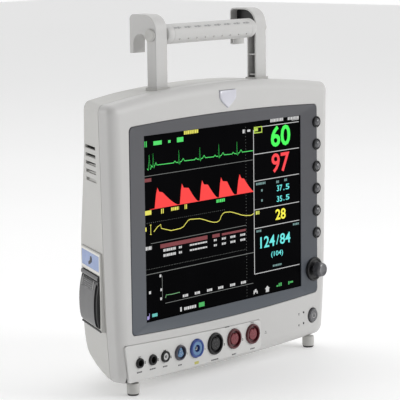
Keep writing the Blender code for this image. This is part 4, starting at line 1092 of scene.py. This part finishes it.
# %% Alarm lens
LENS_RISE = FACE_Y - lens_low[1]


def lens_ring(inset, y):
    return [(x, y, z) for x, z in lens_outline(-inset)]


alarm = grow("alarm_shield", [lens_ring(0.0, lens_high[1]), lens_ring(0.0, FACE_Y - LENS_RISE * 0.45),
                              lens_ring(0.0006, FACE_Y - LENS_RISE * 0.72),
                              lens_ring(0.0022, FACE_Y - LENS_RISE * 0.90),
                              lens_ring(0.0042, FACE_Y - LENS_RISE)])
settle(alarm, "case", "lens", LENS, "alarm_lens")
print("lens faces", len(alarm.data.polygons))

# %% [markdown]
# ## Connector panel
# The patient sockets sit in a paler inset panel. Each is turned from its own profile, then given
# what tells it apart: pins, a keyway, a flat or a white insulator.

# %% Panel
NODES = ("temperature_jack_1", "temperature_jack_2", "output_port", "oxygen_port", "cuff_air_port",
         "ecg_port",
         "pressure_port_1", "pressure_port_2")
SOCKETS = {name: Vector((centre(name).x, FACE_Y, centre(name).z)) for name in NODES}
SOCKET_R = {name: (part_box(name)[1][0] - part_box(name)[0][0]) / 2 for name in NODES}
PROUD = FACE_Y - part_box("ecg_port")[0][1]
panel = grow("panel_inset", [[(x, FACE_Y + 0.0020, z) for x, z in panel_outline()],
                             [(x, panel_low[1] + 0.0003, z) for x, z in panel_outline()],
                             [(x, panel_low[1], z) for x, z in panel_outline(-0.0003)]])
carve(panel, *[peg(SOCKETS[name], SOCKET_R[name] + 0.0002) for name in NODES], solver="MANIFOLD")
settle(panel, "case", "panel", PANEL, "connector_panel")
print("panel faces", len(panel.data.polygons))


def barrel(name, *front, depth=-0.0110, steps=56):
    """A round socket body: the front profile as (share of radius, height), then its wall."""
    radius = SOCKET_R[name]
    profile = [(radius * share, height) for share, height in front]
    return turned(name + "_body", profile + [(radius, depth), (0.0, depth)], SOCKETS[name], steps=steps)


def pins_round(name, radius, count, height, base, thick=0.0005, turn=90.0, skip=()):
    """Contact pins, or sleeves, on a circle."""
    out = []
    for i in range(count):
        if i in skip:
            continue
        angle = math.radians(turn + 360.0 * i / count)
        spot = SOCKETS[name] + Vector((math.cos(angle) * radius, 0, math.sin(angle) * radius))
        out.append(turned("pin", [(0, height), (thick * 0.7, height - 0.0001), (thick, height - 0.0005),
                                  (thick, base), (0, base)], spot, steps=14))
    return out


def socket(name, finish, slot, *front, **extra):
    return settle(barrel(name, *front, **extra), "case", slot, finish, name)


# %% Two temperature jacks and the signal output
for name in NODES[:2]:
    bore = 0.0032 / SOCKET_R[name]
    socket(name, SOCKET_BLACK, "black", (0.0, -0.0080), (bore, -0.0080), (bore, PROUD - 0.0009),
           (bore + 0.08, PROUD - 0.0003),
           (0.86, PROUD), (0.96, PROUD - 0.0004), (1.0, PROUD - 0.0014))
    contact = turned(name + "_contact", [(0.0, -0.0035), (0.0009, -0.0038), (0.0010, -0.0079),
                                         (0.0, -0.0079)],
                     SOCKETS[name], steps=20)
    settle(contact, "case", "steel", BRASS)
socket("output_port", SOCKET_BLACK, "black", (0.0, PROUD - 0.0040), (0.66, PROUD - 0.0040),
       (0.66, PROUD - 0.0004),
       (0.72, PROUD), (0.90, PROUD), (0.97, PROUD - 0.0004), (1.0, PROUD - 0.0014))
insulator = [(0.0016, PROUD - 0.0034), (0.0017, PROUD - 0.0011), (0.0021, PROUD - 0.0008),
             (0.0033, PROUD - 0.0008),
             (0.0036, PROUD - 0.0012), (0.0036, PROUD - 0.0039), (0.0016, PROUD - 0.0039)]
settle(turned("output_insulator", insulator, SOCKETS["output_port"], ring=True), "case", "panel", WHITE_INK)

# %% Oxygen port and cuff fitting
socket("oxygen_port", GREY, "grey", (0.0, PROUD - 0.0042), (0.74, PROUD - 0.0042), (0.76, PROUD - 0.0006),
       (0.80, PROUD), (0.92, PROUD), (0.98, PROUD - 0.0005), (1.0, PROUD - 0.0016))
spot = SOCKETS["oxygen_port"]
wedge = [(spot.x + x * MM, spot.z + z * MM) for x, z in
         ((-4.6, -2.6), (-1.8, -4.6), (1.8, -4.6), (4.6, -2.2), (1.6, 4.9), (-0.8, 4.9))]
insert = plate("oxygen_insert", wedge, FACE_Y - PROUD + 0.0012, FACE_Y - PROUD + 0.0041)
soften(insert, 0.0005, 3)
settle(insert, "case", "grey", PALE_BLUE)
sleeves = pins_round("oxygen_port", 0.0021, 5, PROUD - 0.0006, PROUD - 0.0020, 0.00055, 54.0)
settle(together("oxygen_contacts", *sleeves), "case", "steel", STEEL)

cuff_flat = 0.0085
cuff = barrel("cuff_air_port", (0.0, -0.0060), (0.36, -0.0060), (0.36, PROUD - 0.0012),
              (0.42, PROUD - 0.0009),
              (0.74, PROUD - 0.0009), (0.76, PROUD - 0.0003), (0.80, PROUD), (0.93, PROUD),
              (0.98, PROUD - 0.0005),
              (1.0, PROUD - 0.0016))
spot = SOCKETS["cuff_air_port"]
for sign in (-1, 1):
    carve(cuff, block("flat", (spot.x - 0.02, FACE_Y - 0.01, spot.z + (-0.02 if sign < 0 else cuff_flat)),
                      (spot.x + 0.02, FACE_Y - 0.0002, spot.z + (-cuff_flat if sign < 0 else 0.02))))
settle(cuff, "case", "blue", BLUE, "cuff_air_port")
face_r = SOCKET_R["cuff_air_port"] * 0.73
face = turned("cuff_face", [(0.0037, PROUD - 0.0012), (0.0040, PROUD - 0.0007),
                            (face_r - 0.0003, PROUD - 0.0007),
                            (face_r, PROUD - 0.0009), (face_r, PROUD - 0.0012)], spot, ring=True)
settle(face, "case", "blue", PALE_BLUE)
nozzle = turned("cuff_nozzle", [(0.0, -0.0032), (0.0010, -0.0033), (0.0012, PROUD - 0.0030),
                                (0.0018, PROUD - 0.0026),
                                (0.0021, PROUD - 0.0034), (0.0021, -0.0059), (0.0, -0.0059)], spot, steps=28)
settle(nozzle, "case", "steel", STEEL)

# %% Heart-signal and pressure sockets
def ribbed(name, finish, slot, pin_finish, core_share, core_finish):
    """A locking multi-pin socket: ribbed nose, deep groove, keyed core."""
    obj = barrel(name, (0.0, PROUD - 0.0034), (0.78, PROUD - 0.0034), (0.79, PROUD - 0.0006),
                 (0.82, PROUD - 0.0001),
                 (0.93, PROUD), (0.98, PROUD - 0.0005), (1.0, PROUD - 0.0016), steps=72)
    radius = SOCKET_R[name]
    notches = []
    for i in range(24):
        angle = 2 * math.pi * i / 24
        spot = SOCKETS[name] + Vector((math.cos(angle), 0, math.sin(angle))) * (radius + 0.0002)
        notches.append(turned("notch", [(0, PROUD + 0.001), (0.0005, PROUD + 0.001), (0.0005, 0.0004),
                                        (0, 0.0004)],
                              spot, steps=8))
    carve(obj, together("notches", *notches))
    settle(obj, "case", slot, finish, name)
    core_r = radius * core_share
    core = turned(name + "_core", [(0.0, PROUD - 0.0009), (core_r - 0.0004, PROUD - 0.0009),
                                   (core_r, PROUD - 0.0013),
                                   (core_r, PROUD - 0.0033), (0.0, PROUD - 0.0033)], SOCKETS[name])
    spot = SOCKETS[name]
    carve(core, block("keyway", (spot.x - 0.0011, FACE_Y - PROUD - 0.01, spot.z + core_r - 0.0016),
                      (spot.x + 0.0011, FACE_Y - PROUD + 0.0032, spot.z + core_r + 0.002)))
    settle(core, "case", slot, core_finish)
    contacts = pins_round(name, core_r * 0.62, 6, PROUD - 0.0004, PROUD - 0.0012, 0.00062, 60.0, (5,))
    contacts += pins_round(name, core_r * 0.20, 2, PROUD - 0.0004, PROUD - 0.0012, 0.00062, 0.0)
    settle(together(name + "_contacts", *contacts), "case", "steel", pin_finish)
    return obj


DARK_PIN = plastic("dull_contacts", (0.11, 0.11, 0.115), 0.35, clouds=0.2)
RED_CORE = plastic("red_core", (0.19, 0.018, 0.028), 0.36, clouds=0.15, coat=0.2)
RED_PIN = plastic("red_contacts", (0.32, 0.10, 0.11), 0.35, clouds=0.2)
ribbed("ecg_port", SOCKET_BLACK, "black", DARK_PIN, 0.60, BLACK)
for name in NODES[6:]:
    ribbed(name, RED, "red", RED_PIN, 0.58, RED_CORE)
print("sockets", len(NODES))

# %% [markdown]
# Printed marks are thin raised ink: dashes where a socket's name would be, small solid shapes
# where a symbol would be. None of them spells anything.

# %% Printed marks on the front
PRINT_FRONT, PRINT_BACK = panel_low[1] - 0.00006, panel_low[1] + 0.00004


def printed(x0, z0, x1, z1):
    return bar(x0, z0, x1, z1, PRINT_FRONT, PRINT_BACK)


def small_print(x, z, wide, tall=1.3, words=(1.5, 1.0, 1.9)):
    out, left, i = [], x - wide / 2, 0
    while left < x + wide / 2 - 0.5:
        width = min(words[i % len(words)], x + wide / 2 - left)
        out.append(printed(left, z - tall / 2, left + width, z + tall / 2))
        left += width + 0.45
        i += 1
    return out


marks = []
UNDER = (-138.2, -138.2, -139.0, -141.6, -144.2, -145.6, -145.4, -144.6)
WIDE = (8.0, 8.5, 6.5, 6.0, 7.0, 12.0, 6.5, 7.0)
for name, z, wide in zip(NODES, UNDER, WIDE):
    if name != "cuff_air_port":
        marks += small_print(SOCKETS[name].x / MM, z, wide)
for x, z in ((-129.6, -129.7), (-110.8, -130.4), (-91.9, -131.0), (-9.9, -132.3), (19.6, -132.3)):
    marks += [printed(x - 0.8, z - 1.3, x + 0.8, z - 0.2), printed(x - 0.6, z + 0.1, x + 0.6, z + 1.3)]
for x, z, wide in ((-137.8, -122.9, 3.2), (-101.0, -122.8, 4.0), (-5.0, -115.2, 7.0), (35.3, -117.0, 5.0)):
    marks += small_print(x, z, wide, 0.9, (0.8, 0.8))
for x in (-67.2, -40.2):
    marks += [printed(x - 0.5, -133.0, x - 0.2, -131.0), printed(x + 0.2, -133.0, x + 0.5, -131.0)]
settle(together("socket_marks", *marks), "case", "black", INK, flat=False)
badge = [printed(-56.6, -145.2, -50.0, -142.4)]
settle(together("cuff_mark", *badge), "case", "panel", plastic("yellow_print", (0.50, 0.47, 0.12), 0.5),
       flat=False)
housing_marks = [bar(114.3, z - 1.3, 115.1, z + 1.3, FACE_Y - 0.00006, FACE_Y + 0.00004)
                 for z in (-121.2, -133.2)]
housing_marks += [bar(113.7, z - 0.4, 115.7, z + 0.4, FACE_Y - 0.00007, FACE_Y + 0.00003)
                  for z in (-120.6, -132.9)]
triangle = []
for turn in (90, 210, 330):
    a, b = math.radians(turn), math.radians(turn + 120)
    triangle.append(trace([(58.3 + 1.8 * math.cos(a), -131.6 + 1.8 * math.sin(a)),
                           (58.3 + 1.8 * math.cos(b), -131.6 + 1.8 * math.sin(b))], 0.35))
for piece in triangle:
    pressed(piece, FACE_Y - 0.00006, FACE_Y + 0.00004)
settle(together("housing_marks", *housing_marks, *triangle), "case", "black", INK, flat=False)
print("marks", len(marks))

# %% [markdown]
# ## Handle
# Each arm is a channel: a hooked outline extruded across, hollowed from its inner side, with a
# black core and two stiffening ribs inside. The hook hangs the monitor on a bed rail.

# %% Handle arms
arm_low, arm_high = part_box("handle_arm_right")
ARM_FRONT_Y, POST_DEEP, HOOK_GAP = arm_low[1], 0.0120, 0.0176
ARM_INNER, ARM_OUTER, ARM_SKIN, ARM_FLANGE = arm_low[0], arm_high[0], 0.0025, 0.0016
HOOK_DROP, HOOK_BRIDGE = 0.0385, 0.0196
grip_low, grip_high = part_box("grip")
GRIP_AXIS = (grip_low[1] + grip_high[1]) / 2, (grip_low[2] + grip_high[2]) / 2


def hook_outline(inset=0.0, fine=2):
    """One arm from the side: a post, a rounded top and a hook behind."""
    top, foot = arm_high[2] - inset, arm_low[2] + inset
    y0, y1 = ARM_FRONT_Y + inset, ARM_FRONT_Y + POST_DEEP - inset
    y2 = ARM_FRONT_Y + POST_DEEP + HOOK_GAP + inset
    y3 = arm_high[1] - inset
    tip, arch = arm_high[2] - HOOK_DROP + inset, HOOK_GAP / 2 + inset
    spring = arm_high[2] - HOOK_BRIDGE - HOOK_GAP / 2
    front_r, back_r = 0.0160 - inset, 0.0050 - inset
    points = [(y0, foot)] + arc((y0 + front_r, top - front_r), front_r, 180, 90, 6 * fine)
    points += arc((y3 - back_r, top - back_r), back_r, 90, 0, 4 * fine)
    points += [(y3, tip), (y2, tip), (y2, spring)]
    points += arc(((y1 + y2) / 2, spring), arch, 0, 180, 8 * fine)[1:-1]
    return points + [(y1, spring), (y1, foot)]


def mirrored(sign, low, high):
    return sorted((sign * low, sign * high))


for side, sign in (("left", -1), ("right", 1)):
    arm = across("arm_" + side, hook_outline(), *mirrored(sign, ARM_INNER, ARM_OUTER))
    soften(arm, 0.0007, 3, 50.0)
    hollow = across("arm_hollow", hook_outline(ARM_FLANGE),
                    *mirrored(sign, ARM_INNER - 0.002, ARM_OUTER - ARM_SKIN))
    carve(arm, hollow, solver="MANIFOLD")
    node = "handle_arm_" + side
    settle(arm, "handle", "shell", SHELL, node)
    core_low, core_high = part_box("arm_core_" + side)
    core = across("core_" + side, hook_outline(ARM_FLANGE + 0.0003), core_low[0], core_high[0])
    soften(core, 0.0004, 2, 50.0)
    settle(core, "handle", "black", BLACK, "arm_core_" + side)
    ribs = []
    for z in (arm_high[2] - 0.0480, arm_high[2] - 0.0690, arm_high[2] - 0.0900):
        low, high = mirrored(sign, ARM_INNER + 0.0012, ARM_OUTER - 0.0080)
        ribs.append(block("rib", (low, ARM_FRONT_Y + ARM_FLANGE + 0.0001, z - 0.0007),
                          (high, ARM_FRONT_Y + POST_DEEP - ARM_FLANGE - 0.0001, z + 0.0007)))
    ribs = together("arm_ribs_" + side, *ribs)
    soften(ribs, 0.0003, 2)
    settle(ribs, "handle", "shell", SHELL)
    boss = [(0.0, 0.0022), (0.0036, 0.0023), (0.0042, 0.0026), (0.0054, 0.0026), (0.0063, 0.0016),
            (0.0064, 0.0004),
            (0.0, 0.0004)]
    cap = turned("boss_" + side, boss, (sign * ARM_OUTER, GRIP_AXIS[0], GRIP_AXIS[1]), (sign, 0, 0), 40)
    settle(cap, "handle", "cap", SHELL_WITH_PAINTED_SHADE, "grip_cap_" + side)
print("arm faces", len(arm.data.polygons))

# %% [markdown]
# The grip is a thick smooth tube with a parting line underneath and small moulded dimples. A row
# of printed bars runs along its upper front, where the real one carries a warning.

# %% Grip
REACH, GRIP_R = grip_high[0], (grip_high[1] - grip_low[1]) / 2
half_grip = [(0.0, REACH), (GRIP_R - 0.0030, REACH), (GRIP_R - 0.0010, REACH - 0.0006),
             (GRIP_R, REACH - 0.0028),
             (GRIP_R, REACH - 0.0070), (GRIP_R - 0.0005, REACH - 0.0078), (GRIP_R - 0.0005, REACH - 0.0090),
             (GRIP_R, REACH - 0.0098)]
grip = turned("grip_tube", half_grip + [(r, -h) for r, h in reversed(half_grip)], (0.0, *GRIP_AXIS),
              (1, 0, 0), 72)
dimples = []
for i in range(9):
    x = -0.052 + 0.013 * i
    angle = math.radians(-32)
    out_dir = Vector((0, -math.cos(angle), math.sin(angle)))
    spot = Vector((x, *GRIP_AXIS)) + out_dir * GRIP_R
    dimples.append(turned("dimple", [(0, 0.002), (0.0011, 0.002), (0.0009, -0.0010), (0, -0.0010)], spot,
                          tuple(out_dir), 16))
carve(grip, together("dimples", *dimples))
settle(grip, "handle", "shell", SHELL, "grip")
strokes = []
for i in range(8):
    x = -0.054 + 0.0152 * i
    angle = math.radians(38)
    out_dir = Vector((0, -math.cos(angle), math.sin(angle)))
    spot = Vector((x, *GRIP_AXIS)) + out_dir * (GRIP_R + 0.00002)
    turn = Matrix.Translation(spot) @ Matrix.Rotation(-angle, 4, "X")
    for x0, x1, tall in ((-0.0050, -0.0012, 0.0008), (-0.0004, 0.0030, 0.0011), (0.0038, 0.0050, 0.0006)):
        strokes.append(stood(block("stroke", (x0, -0.00006, -tall), (x1, 0.0001, tall)), turn))
settle(together("grip_marks", *strokes), "handle", "black", plastic("faint_print", (0.33, 0.33, 0.33), 0.5),
       flat=False)
print("grip faces", len(grip.data.polygons))

# %% Sleeves the arms slide in
for side, sign in (("left", -1), ("right", 1)):
    low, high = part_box("handle_sleeve_" + side)
    wall_t = 0.0013
    tube = [rounded((low[0], low[1]), (high[0], high[1]), 0.0012, 4)]
    sleeve = grow("sleeve_" + side, [[(x, y, low[2]) for x, y in tube[0]],
                                     [(x, y, high[2] - 0.0004) for x, y in tube[0]],
                                     [(x * 0.998 + (low[0] + high[0]) * 0.001,
                                       y * 0.998 + (low[1] + high[1]) * 0.001, high[2])
                                      for x, y in tube[0]]])
    carve(sleeve, block("bore", (low[0] + wall_t, low[1] + wall_t, low[2] - 0.01),
                        (high[0] - wall_t, high[1] - wall_t, high[2] + 0.01)), solver="MANIFOLD")
    settle(sleeve, "case", "shell", SHELL_WITH_PAINTED_SHADE, "handle_sleeve_" + side)
print("sleeves made")

# %% [markdown]
# ## Recorder
# The strip-chart recorder drops into the left wall. A bezel carries a label strip above; below it
# a bowed door, hinged at its foot, swings out with a release lever along its top edge.

# %% Bezel and label strip
GAP = 0.0003
S0, S1 = OPEN_S + GAP, OPEN_S + OPEN_L - GAP
DOOR_LOW, DOOR_HIGH = OPEN_TOP - OPEN_H + GAP + 0.0030, OPEN_TOP - GAP - 0.0225
LEVER_Z = DOOR_HIGH - 0.0052
DOOR_S0, DOOR_S1 = S0 + 0.0045, S1 - 0.0045

bezel = plate("recorder_frame", rounded((S0, OPEN_TOP - OPEN_H + GAP), (S1, OPEN_TOP - GAP), 0.0012),
              -0.0030, 0.0022)
carve(bezel, block("mouth", (S0 + 0.004, -0.01, DOOR_LOW), (S1 - 0.004, 0.01, DOOR_HIGH)))
soften(bezel, 0.0006, 3, 50.0)
settle(stood(bezel, LEFT_WALL), "case", "shell", SHELL_WITH_PAINTED_SHADE, "recorder_bezel")
STRIP_LOW, STRIP_HIGH = DOOR_HIGH + 0.0016, OPEN_TOP - 0.0012
edge = plate("label_edge", rounded((S0 + 0.0012, STRIP_LOW), (S1 - 0.0012, STRIP_HIGH), 0.0010), 0.0018,
             0.0027)
carve(edge, plate("label_seat", rounded((S0 + 0.0036, STRIP_LOW + 0.0024),
                                        (S1 - 0.0030, STRIP_HIGH - 0.0020), 0.0008),
                  0.0023, 0.0040))
soften(edge, 0.0003, 2, 50.0)
settle(stood(edge, LEFT_WALL), "case", "panel", PAPER)


def label_blue():
    made = Finish("label_blue", 0.35, coat=0.3)
    cloud = made.noise(90.0, 3.0)
    pale = made.mix((0.13, 0.20, 0.46), (0.30, 0.38, 0.62), cloud)
    made.set("Base Color", made.mix(pale, (0.10, 0.24, 0.55), made.noise(240.0, 2.0) * 0.5))
    made.bump(cloud, 0.00003, 0.4)
    return made.material


strip = plate("label_field", rounded((S0 + 0.0038, STRIP_LOW + 0.0026), (S1 - 0.0032, STRIP_HIGH - 0.0022),
                                     0.0007),
              0.0020, 0.00245)
settle(stood(strip, LEFT_WALL), "case", "blue", label_blue())
roll_x, roll_z = (S0 + S1) / 2 - 0.002, (STRIP_LOW + STRIP_HIGH) / 2
sign_parts = [plate("sign", arc((roll_x, roll_z + 0.0012), 0.0034, 0, 345, 14), 0.0024, 0.0026),
              plate("sheet", [(roll_x + 0.002, roll_z - 0.0035), (roll_x + 0.009, roll_z - 0.0050),
                              (roll_x + 0.009, roll_z - 0.0020), (roll_x + 0.002, roll_z + 0.0005)], 0.0024,
                    0.00265)]
settle(stood(together("label_sign", *sign_parts), LEFT_WALL), "case", "black", INK, flat=False)
print("label strip", round(STRIP_LOW, 4), round(STRIP_HIGH, 4))

# %% [markdown]
# The door is two pieces that move together: a dark grey skin that bows outwards, and a black body
# behind it, set back at its ends so that a deep shadow shows beside the skin.

# %% Door
bow = [(0.0030, DOOR_LOW + 0.0006)] + [(0.0030 + 0.0036 * math.sin(a) ** 0.8,
                                        DOOR_LOW + 0.0006 + 0.0190 * (1 - math.cos(a)))
                                       for a in [math.radians(9 * i) for i in range(1, 11)]]
crest_y, crest_z = bow[-1]
bow += [(crest_y - (crest_y - 0.0032) * t ** 2.2, crest_z + (LEVER_Z - 0.0007 - crest_z) * t)
        for t in ease(0, 1, 12)[1:]]
core_bow = [(-0.0020, LEVER_Z - 0.0007), (-0.0020, DOOR_LOW + 0.0006)] + [(y - 0.0014 * (y > 0.0040),
                                                                           z) for y, z in bow]
door = across("door_body", core_bow, DOOR_S0 + 0.0002, DOOR_S1 - 0.0002)
PLATEN_Z = LEVER_Z - 0.0075
ears = []
for low, high in ((DOOR_S0 + 0.0004, DOOR_S0 + 0.0022), (DOOR_S1 - 0.0022, DOOR_S1 - 0.0004)):
    ear = block("ear", (low, -0.0115, PLATEN_Z - 0.0045), (high, -0.0010, PLATEN_Z + 0.0045))
    carve(ear, turned("ear_bore", [(0, 0.01), (0.0015, 0.01), (0.0015, -0.01), (0, -0.01)],
                      ((low + high) / 2, -0.0070, PLATEN_Z), (1, 0, 0), 20))
    ears.append(ear)
carve(door, *ears, operation="UNION")
soften(door, 0.0003, 2, 50.0)
settle(stood(door, LEFT_WALL), "recorder_door", "black", BLACK, "recorder_door")
inner_bow = [(y - 0.0013, z) for y, z in bow]
skin = across("door_skin", bow + list(reversed(inner_bow)), DOOR_S0 + 0.0060, DOOR_S1)
soften(skin, 0.0004, 3, 50.0)
settle(stood(skin, LEFT_WALL), "recorder_door", "door", DOOR)
print("door crest", round(crest_y, 4), round(crest_z, 4))

# %% [markdown]
# The lever is a rounded rail. Below it the door has a printed outline with four strokes, a plain
# stand-in for the loading diagram.

# %% Lever with its printed outline
rail = [(-0.0015, LEVER_Z), (0.0030, LEVER_Z), (0.0040, LEVER_Z + 0.0006), (0.0044, LEVER_Z + 0.0018),
        (0.0042, DOOR_HIGH - 0.0016), (0.0034, DOOR_HIGH - 0.0006), (-0.0015, DOOR_HIGH - 0.0006)]
lever = across("lever_rail", rail, DOOR_S0, DOOR_S1)
soften(lever, 0.0003, 2, 50.0)
settle(stood(lever, LEFT_WALL), "recorder_lever", "black", DOOR, "recorder_lever")
print_s0, print_s1 = DOOR_S0 + 0.014, DOOR_S1 - 0.007
print_z0, print_z1 = LEVER_Z - 0.0105, LEVER_Z - 0.0012


def door_y(z):
    """How far out the door's skin is at a height."""
    for (ya, za), (yb, zb) in zip(bow, bow[1:]):
        if za <= z <= zb:
            return ya + (yb - ya) * (z - za) / (zb - za)
    return bow[-1][0]


def door_line(s0, z0, s1, z1, thick=0.0005):
    """A printed stroke that follows the bowed skin."""
    steps = 6
    rings = []
    for t in ease(0, 1, steps):
        s, z = s0 + (s1 - s0) * t, z0 + (z1 - z0) * t
        y = door_y(z)
        rings.append([(s - thick, y - 0.0003, z - thick), (s + thick, y - 0.0003, z - thick),
                      (s + thick, y + 0.00025, z + thick), (s - thick, y + 0.00025, z + thick)])
    return grow("door_line", rings)


outline = [(print_s0, print_z0), (print_s1, print_z0), (print_s1, print_z1), (print_s0, print_z1)]
lines = [door_line(*a, *b, 0.0003) for a, b in zip(outline, outline[1:] + outline[:1])]
for i in range(4):
    z = print_z0 + 0.0018 + 0.0019 * i
    lines.append(door_line(print_s0 + 0.003 + 0.002 * i, z, print_s1 - 0.009 + 0.002 * i, z, 0.0004))
settle(stood(together("door_marks", *lines), LEFT_WALL), "recorder_door", "door", WHITE_INK, flat=False)

# %% Tear bar and paper edge
TEETH = 30
bar_low = OPEN_TOP - OPEN_H + GAP
teeth = [(S0 + 0.0004, bar_low + 0.0002), (S1 - 0.0004, bar_low + 0.0002)]
pitch = (S1 - S0 - 0.0008) / TEETH
for i in range(TEETH):
    right_s = S1 - 0.0004 - pitch * i
    teeth += [(right_s, bar_low + 0.0012), (right_s - pitch / 2, bar_low + 0.0021)]
teeth.append((S0 + 0.0004, bar_low + 0.0012))
tear = plate("tear_bar", teeth, 0.0020, 0.0029)
settle(stood(tear, LEFT_WALL), "case", "black", SOCKET_BLACK)
print("recorder done, teeth", TEETH)

# %% [markdown]
# ## Battery door
# The right wall has a flush door over the battery, with a finger scoop and shallow ribs that say
# which way to pull.

# %% Battery door
bay0, bay1 = BAY_S + GAP, BAY_S + BAY_L - GAP
bay_low, bay_high = BAY_TOP - BAY_H + GAP, BAY_TOP - GAP
hatch = plate("battery_hatch", rounded((-bay1, bay_low), (-bay0, bay_high), 0.0012), -0.0022, -0.0002)
soften(hatch, 0.0003, 2, 50.0)
scoop = plate("scoop", rounded((-bay1 + 0.015, bay_high - 0.0110), (-bay0 - 0.015, bay_high - 0.0035),
                               0.0030), -0.0012, 0.01)
carve(hatch, scoop)
for i in range(5):
    z = bay_high - 0.0160 - 0.0030 * i
    carve(hatch, block("groove", (-bay1 + 0.014, -0.0007, z - 0.0005), (-bay0 - 0.014, 0.01, z + 0.0005)))
settle(stood(hatch, RIGHT_WALL), "battery_door", "shell", SHELL_WITH_PAINTED_SHADE, "battery_door")
print("hatch faces", len(hatch.data.polygons))

# %% [markdown]
# ## Feet
# The front feet are moulded in the case's colour with a dark pad below; the rear ones are all
# rubber. Both are turned.

# %% Feet
for node in ("foot_front_left", "foot_front_right", "foot_rear_left", "foot_rear_right"):
    low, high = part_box(node)
    axis_x, axis_y, top = (low[0] + high[0]) / 2, (low[1] + high[1]) / 2, high[2]
    radius = (high[0] - low[0]) / 2
    pad_top = 0.0016
    pad = [(0.0, pad_top), (radius - 0.0009, pad_top), (radius - 0.0005, pad_top - 0.0006),
           (radius - 0.0006, 0.0012),
           (radius - 0.0014, 0.0), (radius - 0.0040, 0.0), (radius - 0.0048, 0.0005), (0.0, 0.0005)]
    stem_profile = [(0.0, top), (radius - 0.0004, top), (radius, top - 0.0012), (radius, pad_top + 0.0008),
                    (radius - 0.0006, pad_top + 0.0001), (0.0, pad_top + 0.0001)]
    front_foot = "front" in node
    foot_stem = turned(node + "_stem", stem_profile, (axis_x, axis_y, 0), (0, 0, 1), 48)
    settle(foot_stem, "case", "shell" if front_foot else "rubber", SHELL_WITH_PAINTED_SHADE if front_foot else RUBBER)
    foot_pad = turned(node + "_pad", pad, (axis_x, axis_y, 0), (0, 0, 1), 48)
    settle(foot_pad, "case", "rubber", RUBBER, node)
print("feet done")

# %% [markdown]
# ## What is inside
# The solid pieces inside keep their shape and take a finish each: bare metal for brackets and the
# pump, green board, black plastic, rubber on the platen and wound paper on the roll.

# %% Finishes for the inner pieces
def wound_paper():
    made = Finish("wound_paper", 0.88)
    rings_of_paper = made.noise(40.0, 2.0, (1.0, 30.0, 30.0))
    made.set("Base Color", made.mix((0.66, 0.64, 0.58), (0.84, 0.83, 0.79), rings_of_paper))
    made.bump(rings_of_paper, 0.00006, 0.5)
    return made.material


def battery_wrap():
    made = Finish("battery_wrap", 0.4, coat=0.2)
    band = made.node("SeparateXYZ", None, {"Vector": made.place}, "Z").above(MID_Z - 0.050)
    made.set("Base Color", made.mix((0.015, 0.016, 0.020), (0.05, 0.07, 0.16), band))
    made.set("Roughness", 0.36 + made.noise(60.0) * 0.12)
    return made.material


INNER = {"lcd_panel": BLACK, "lcd_bracket": STEEL, "main_board": BOARD, "parameter_board": BOARD,
         "power_supply": STEEL,
         "air_pump": STEEL, "speaker": BLACK, "encoder_body": BLACK, "encoder_shaft": STEEL,
         "recorder_tray": BLACK,
         "platen_roller": RUBBER, "paper_roll": wound_paper(), "battery_pack": battery_wrap(),
         "screen_glass": GLASS}
for name, finish in INNER.items():
    body = bpy.data.objects[name]
    body.data.materials.clear()
    body.data.materials.append(finish)
print("inner finishes", len(INNER))

# %% [markdown]
# ## Studio
# Three soft lights and a pale world: a broad one from the left and above for the case's front, a
# weaker one from the right, and one behind that draws the edge of the brow.

# %% Floor, world and lights
free()
bpy.ops.mesh.primitive_plane_add(size=14.0, location=(0, 0, 0))
floor = named("studio_floor")
floor_finish = Finish("studio_floor_finish", 0.6)
floor_finish.set("Base Color", floor_finish.mix((0.82, 0.82, 0.82), (0.86, 0.86, 0.86),
                                                floor_finish.noise(3.0)))
floor_finish.set("Emission Color", (1.0, 1.0, 1.0))
floor_finish.set("Emission Strength", 0.22)
floor.data.materials.append(floor_finish.material)

bpy.context.scene.view_settings.view_transform = "Standard"
world = bpy.data.worlds.new("studio")
bpy.context.scene.world = world
world.use_nodes = True
sky = world.node_tree
sky.nodes["Background"].inputs["Color"].default_value = (1.0, 1.0, 1.0, 1.0)
where = sky.nodes.new("ShaderNodeTexCoord")
facing = sky.nodes.new("ShaderNodeVectorMath")
facing.operation = "DOT_PRODUCT"
facing.inputs[1].default_value = (0.755, 0.656, 0.0)
fall = sky.nodes.new("ShaderNodeMapRange")
for key, value in (("From Min", -0.2), ("From Max", 0.6), ("To Min", 0.34), ("To Max", 1.0)):
    fall.inputs[key].default_value = value
sky.links.new(where.outputs["Generated"], facing.inputs[0])
sky.links.new(facing.outputs["Value"], fall.inputs["Value"])
sky.links.new(fall.outputs[0], sky.nodes["Background"].inputs["Strength"])


def softbox(name, spot, aim, size, power):
    """A large square area light that looks at a point."""
    bpy.ops.object.light_add(type="AREA", location=spot)
    light = bpy.context.object
    light.name = name
    light.data.size = size
    light.data.energy = power
    light.rotation_euler = (Vector(aim) - Vector(spot)).to_track_quat("-Z", "Y").to_euler()


softbox("key_light", (1.25, -2.05, 1.2), (0, 0, 0.15), 1.1, 24.0)
softbox("side_light", (-1.8, 1.5, 1.0), (0, 0, 0.15), 1.0, 11.0)
softbox("top_light", (0.4, 0.4, 2.6), (0, 0, 0.2), 1.6, 12.0)
print("studio ready")
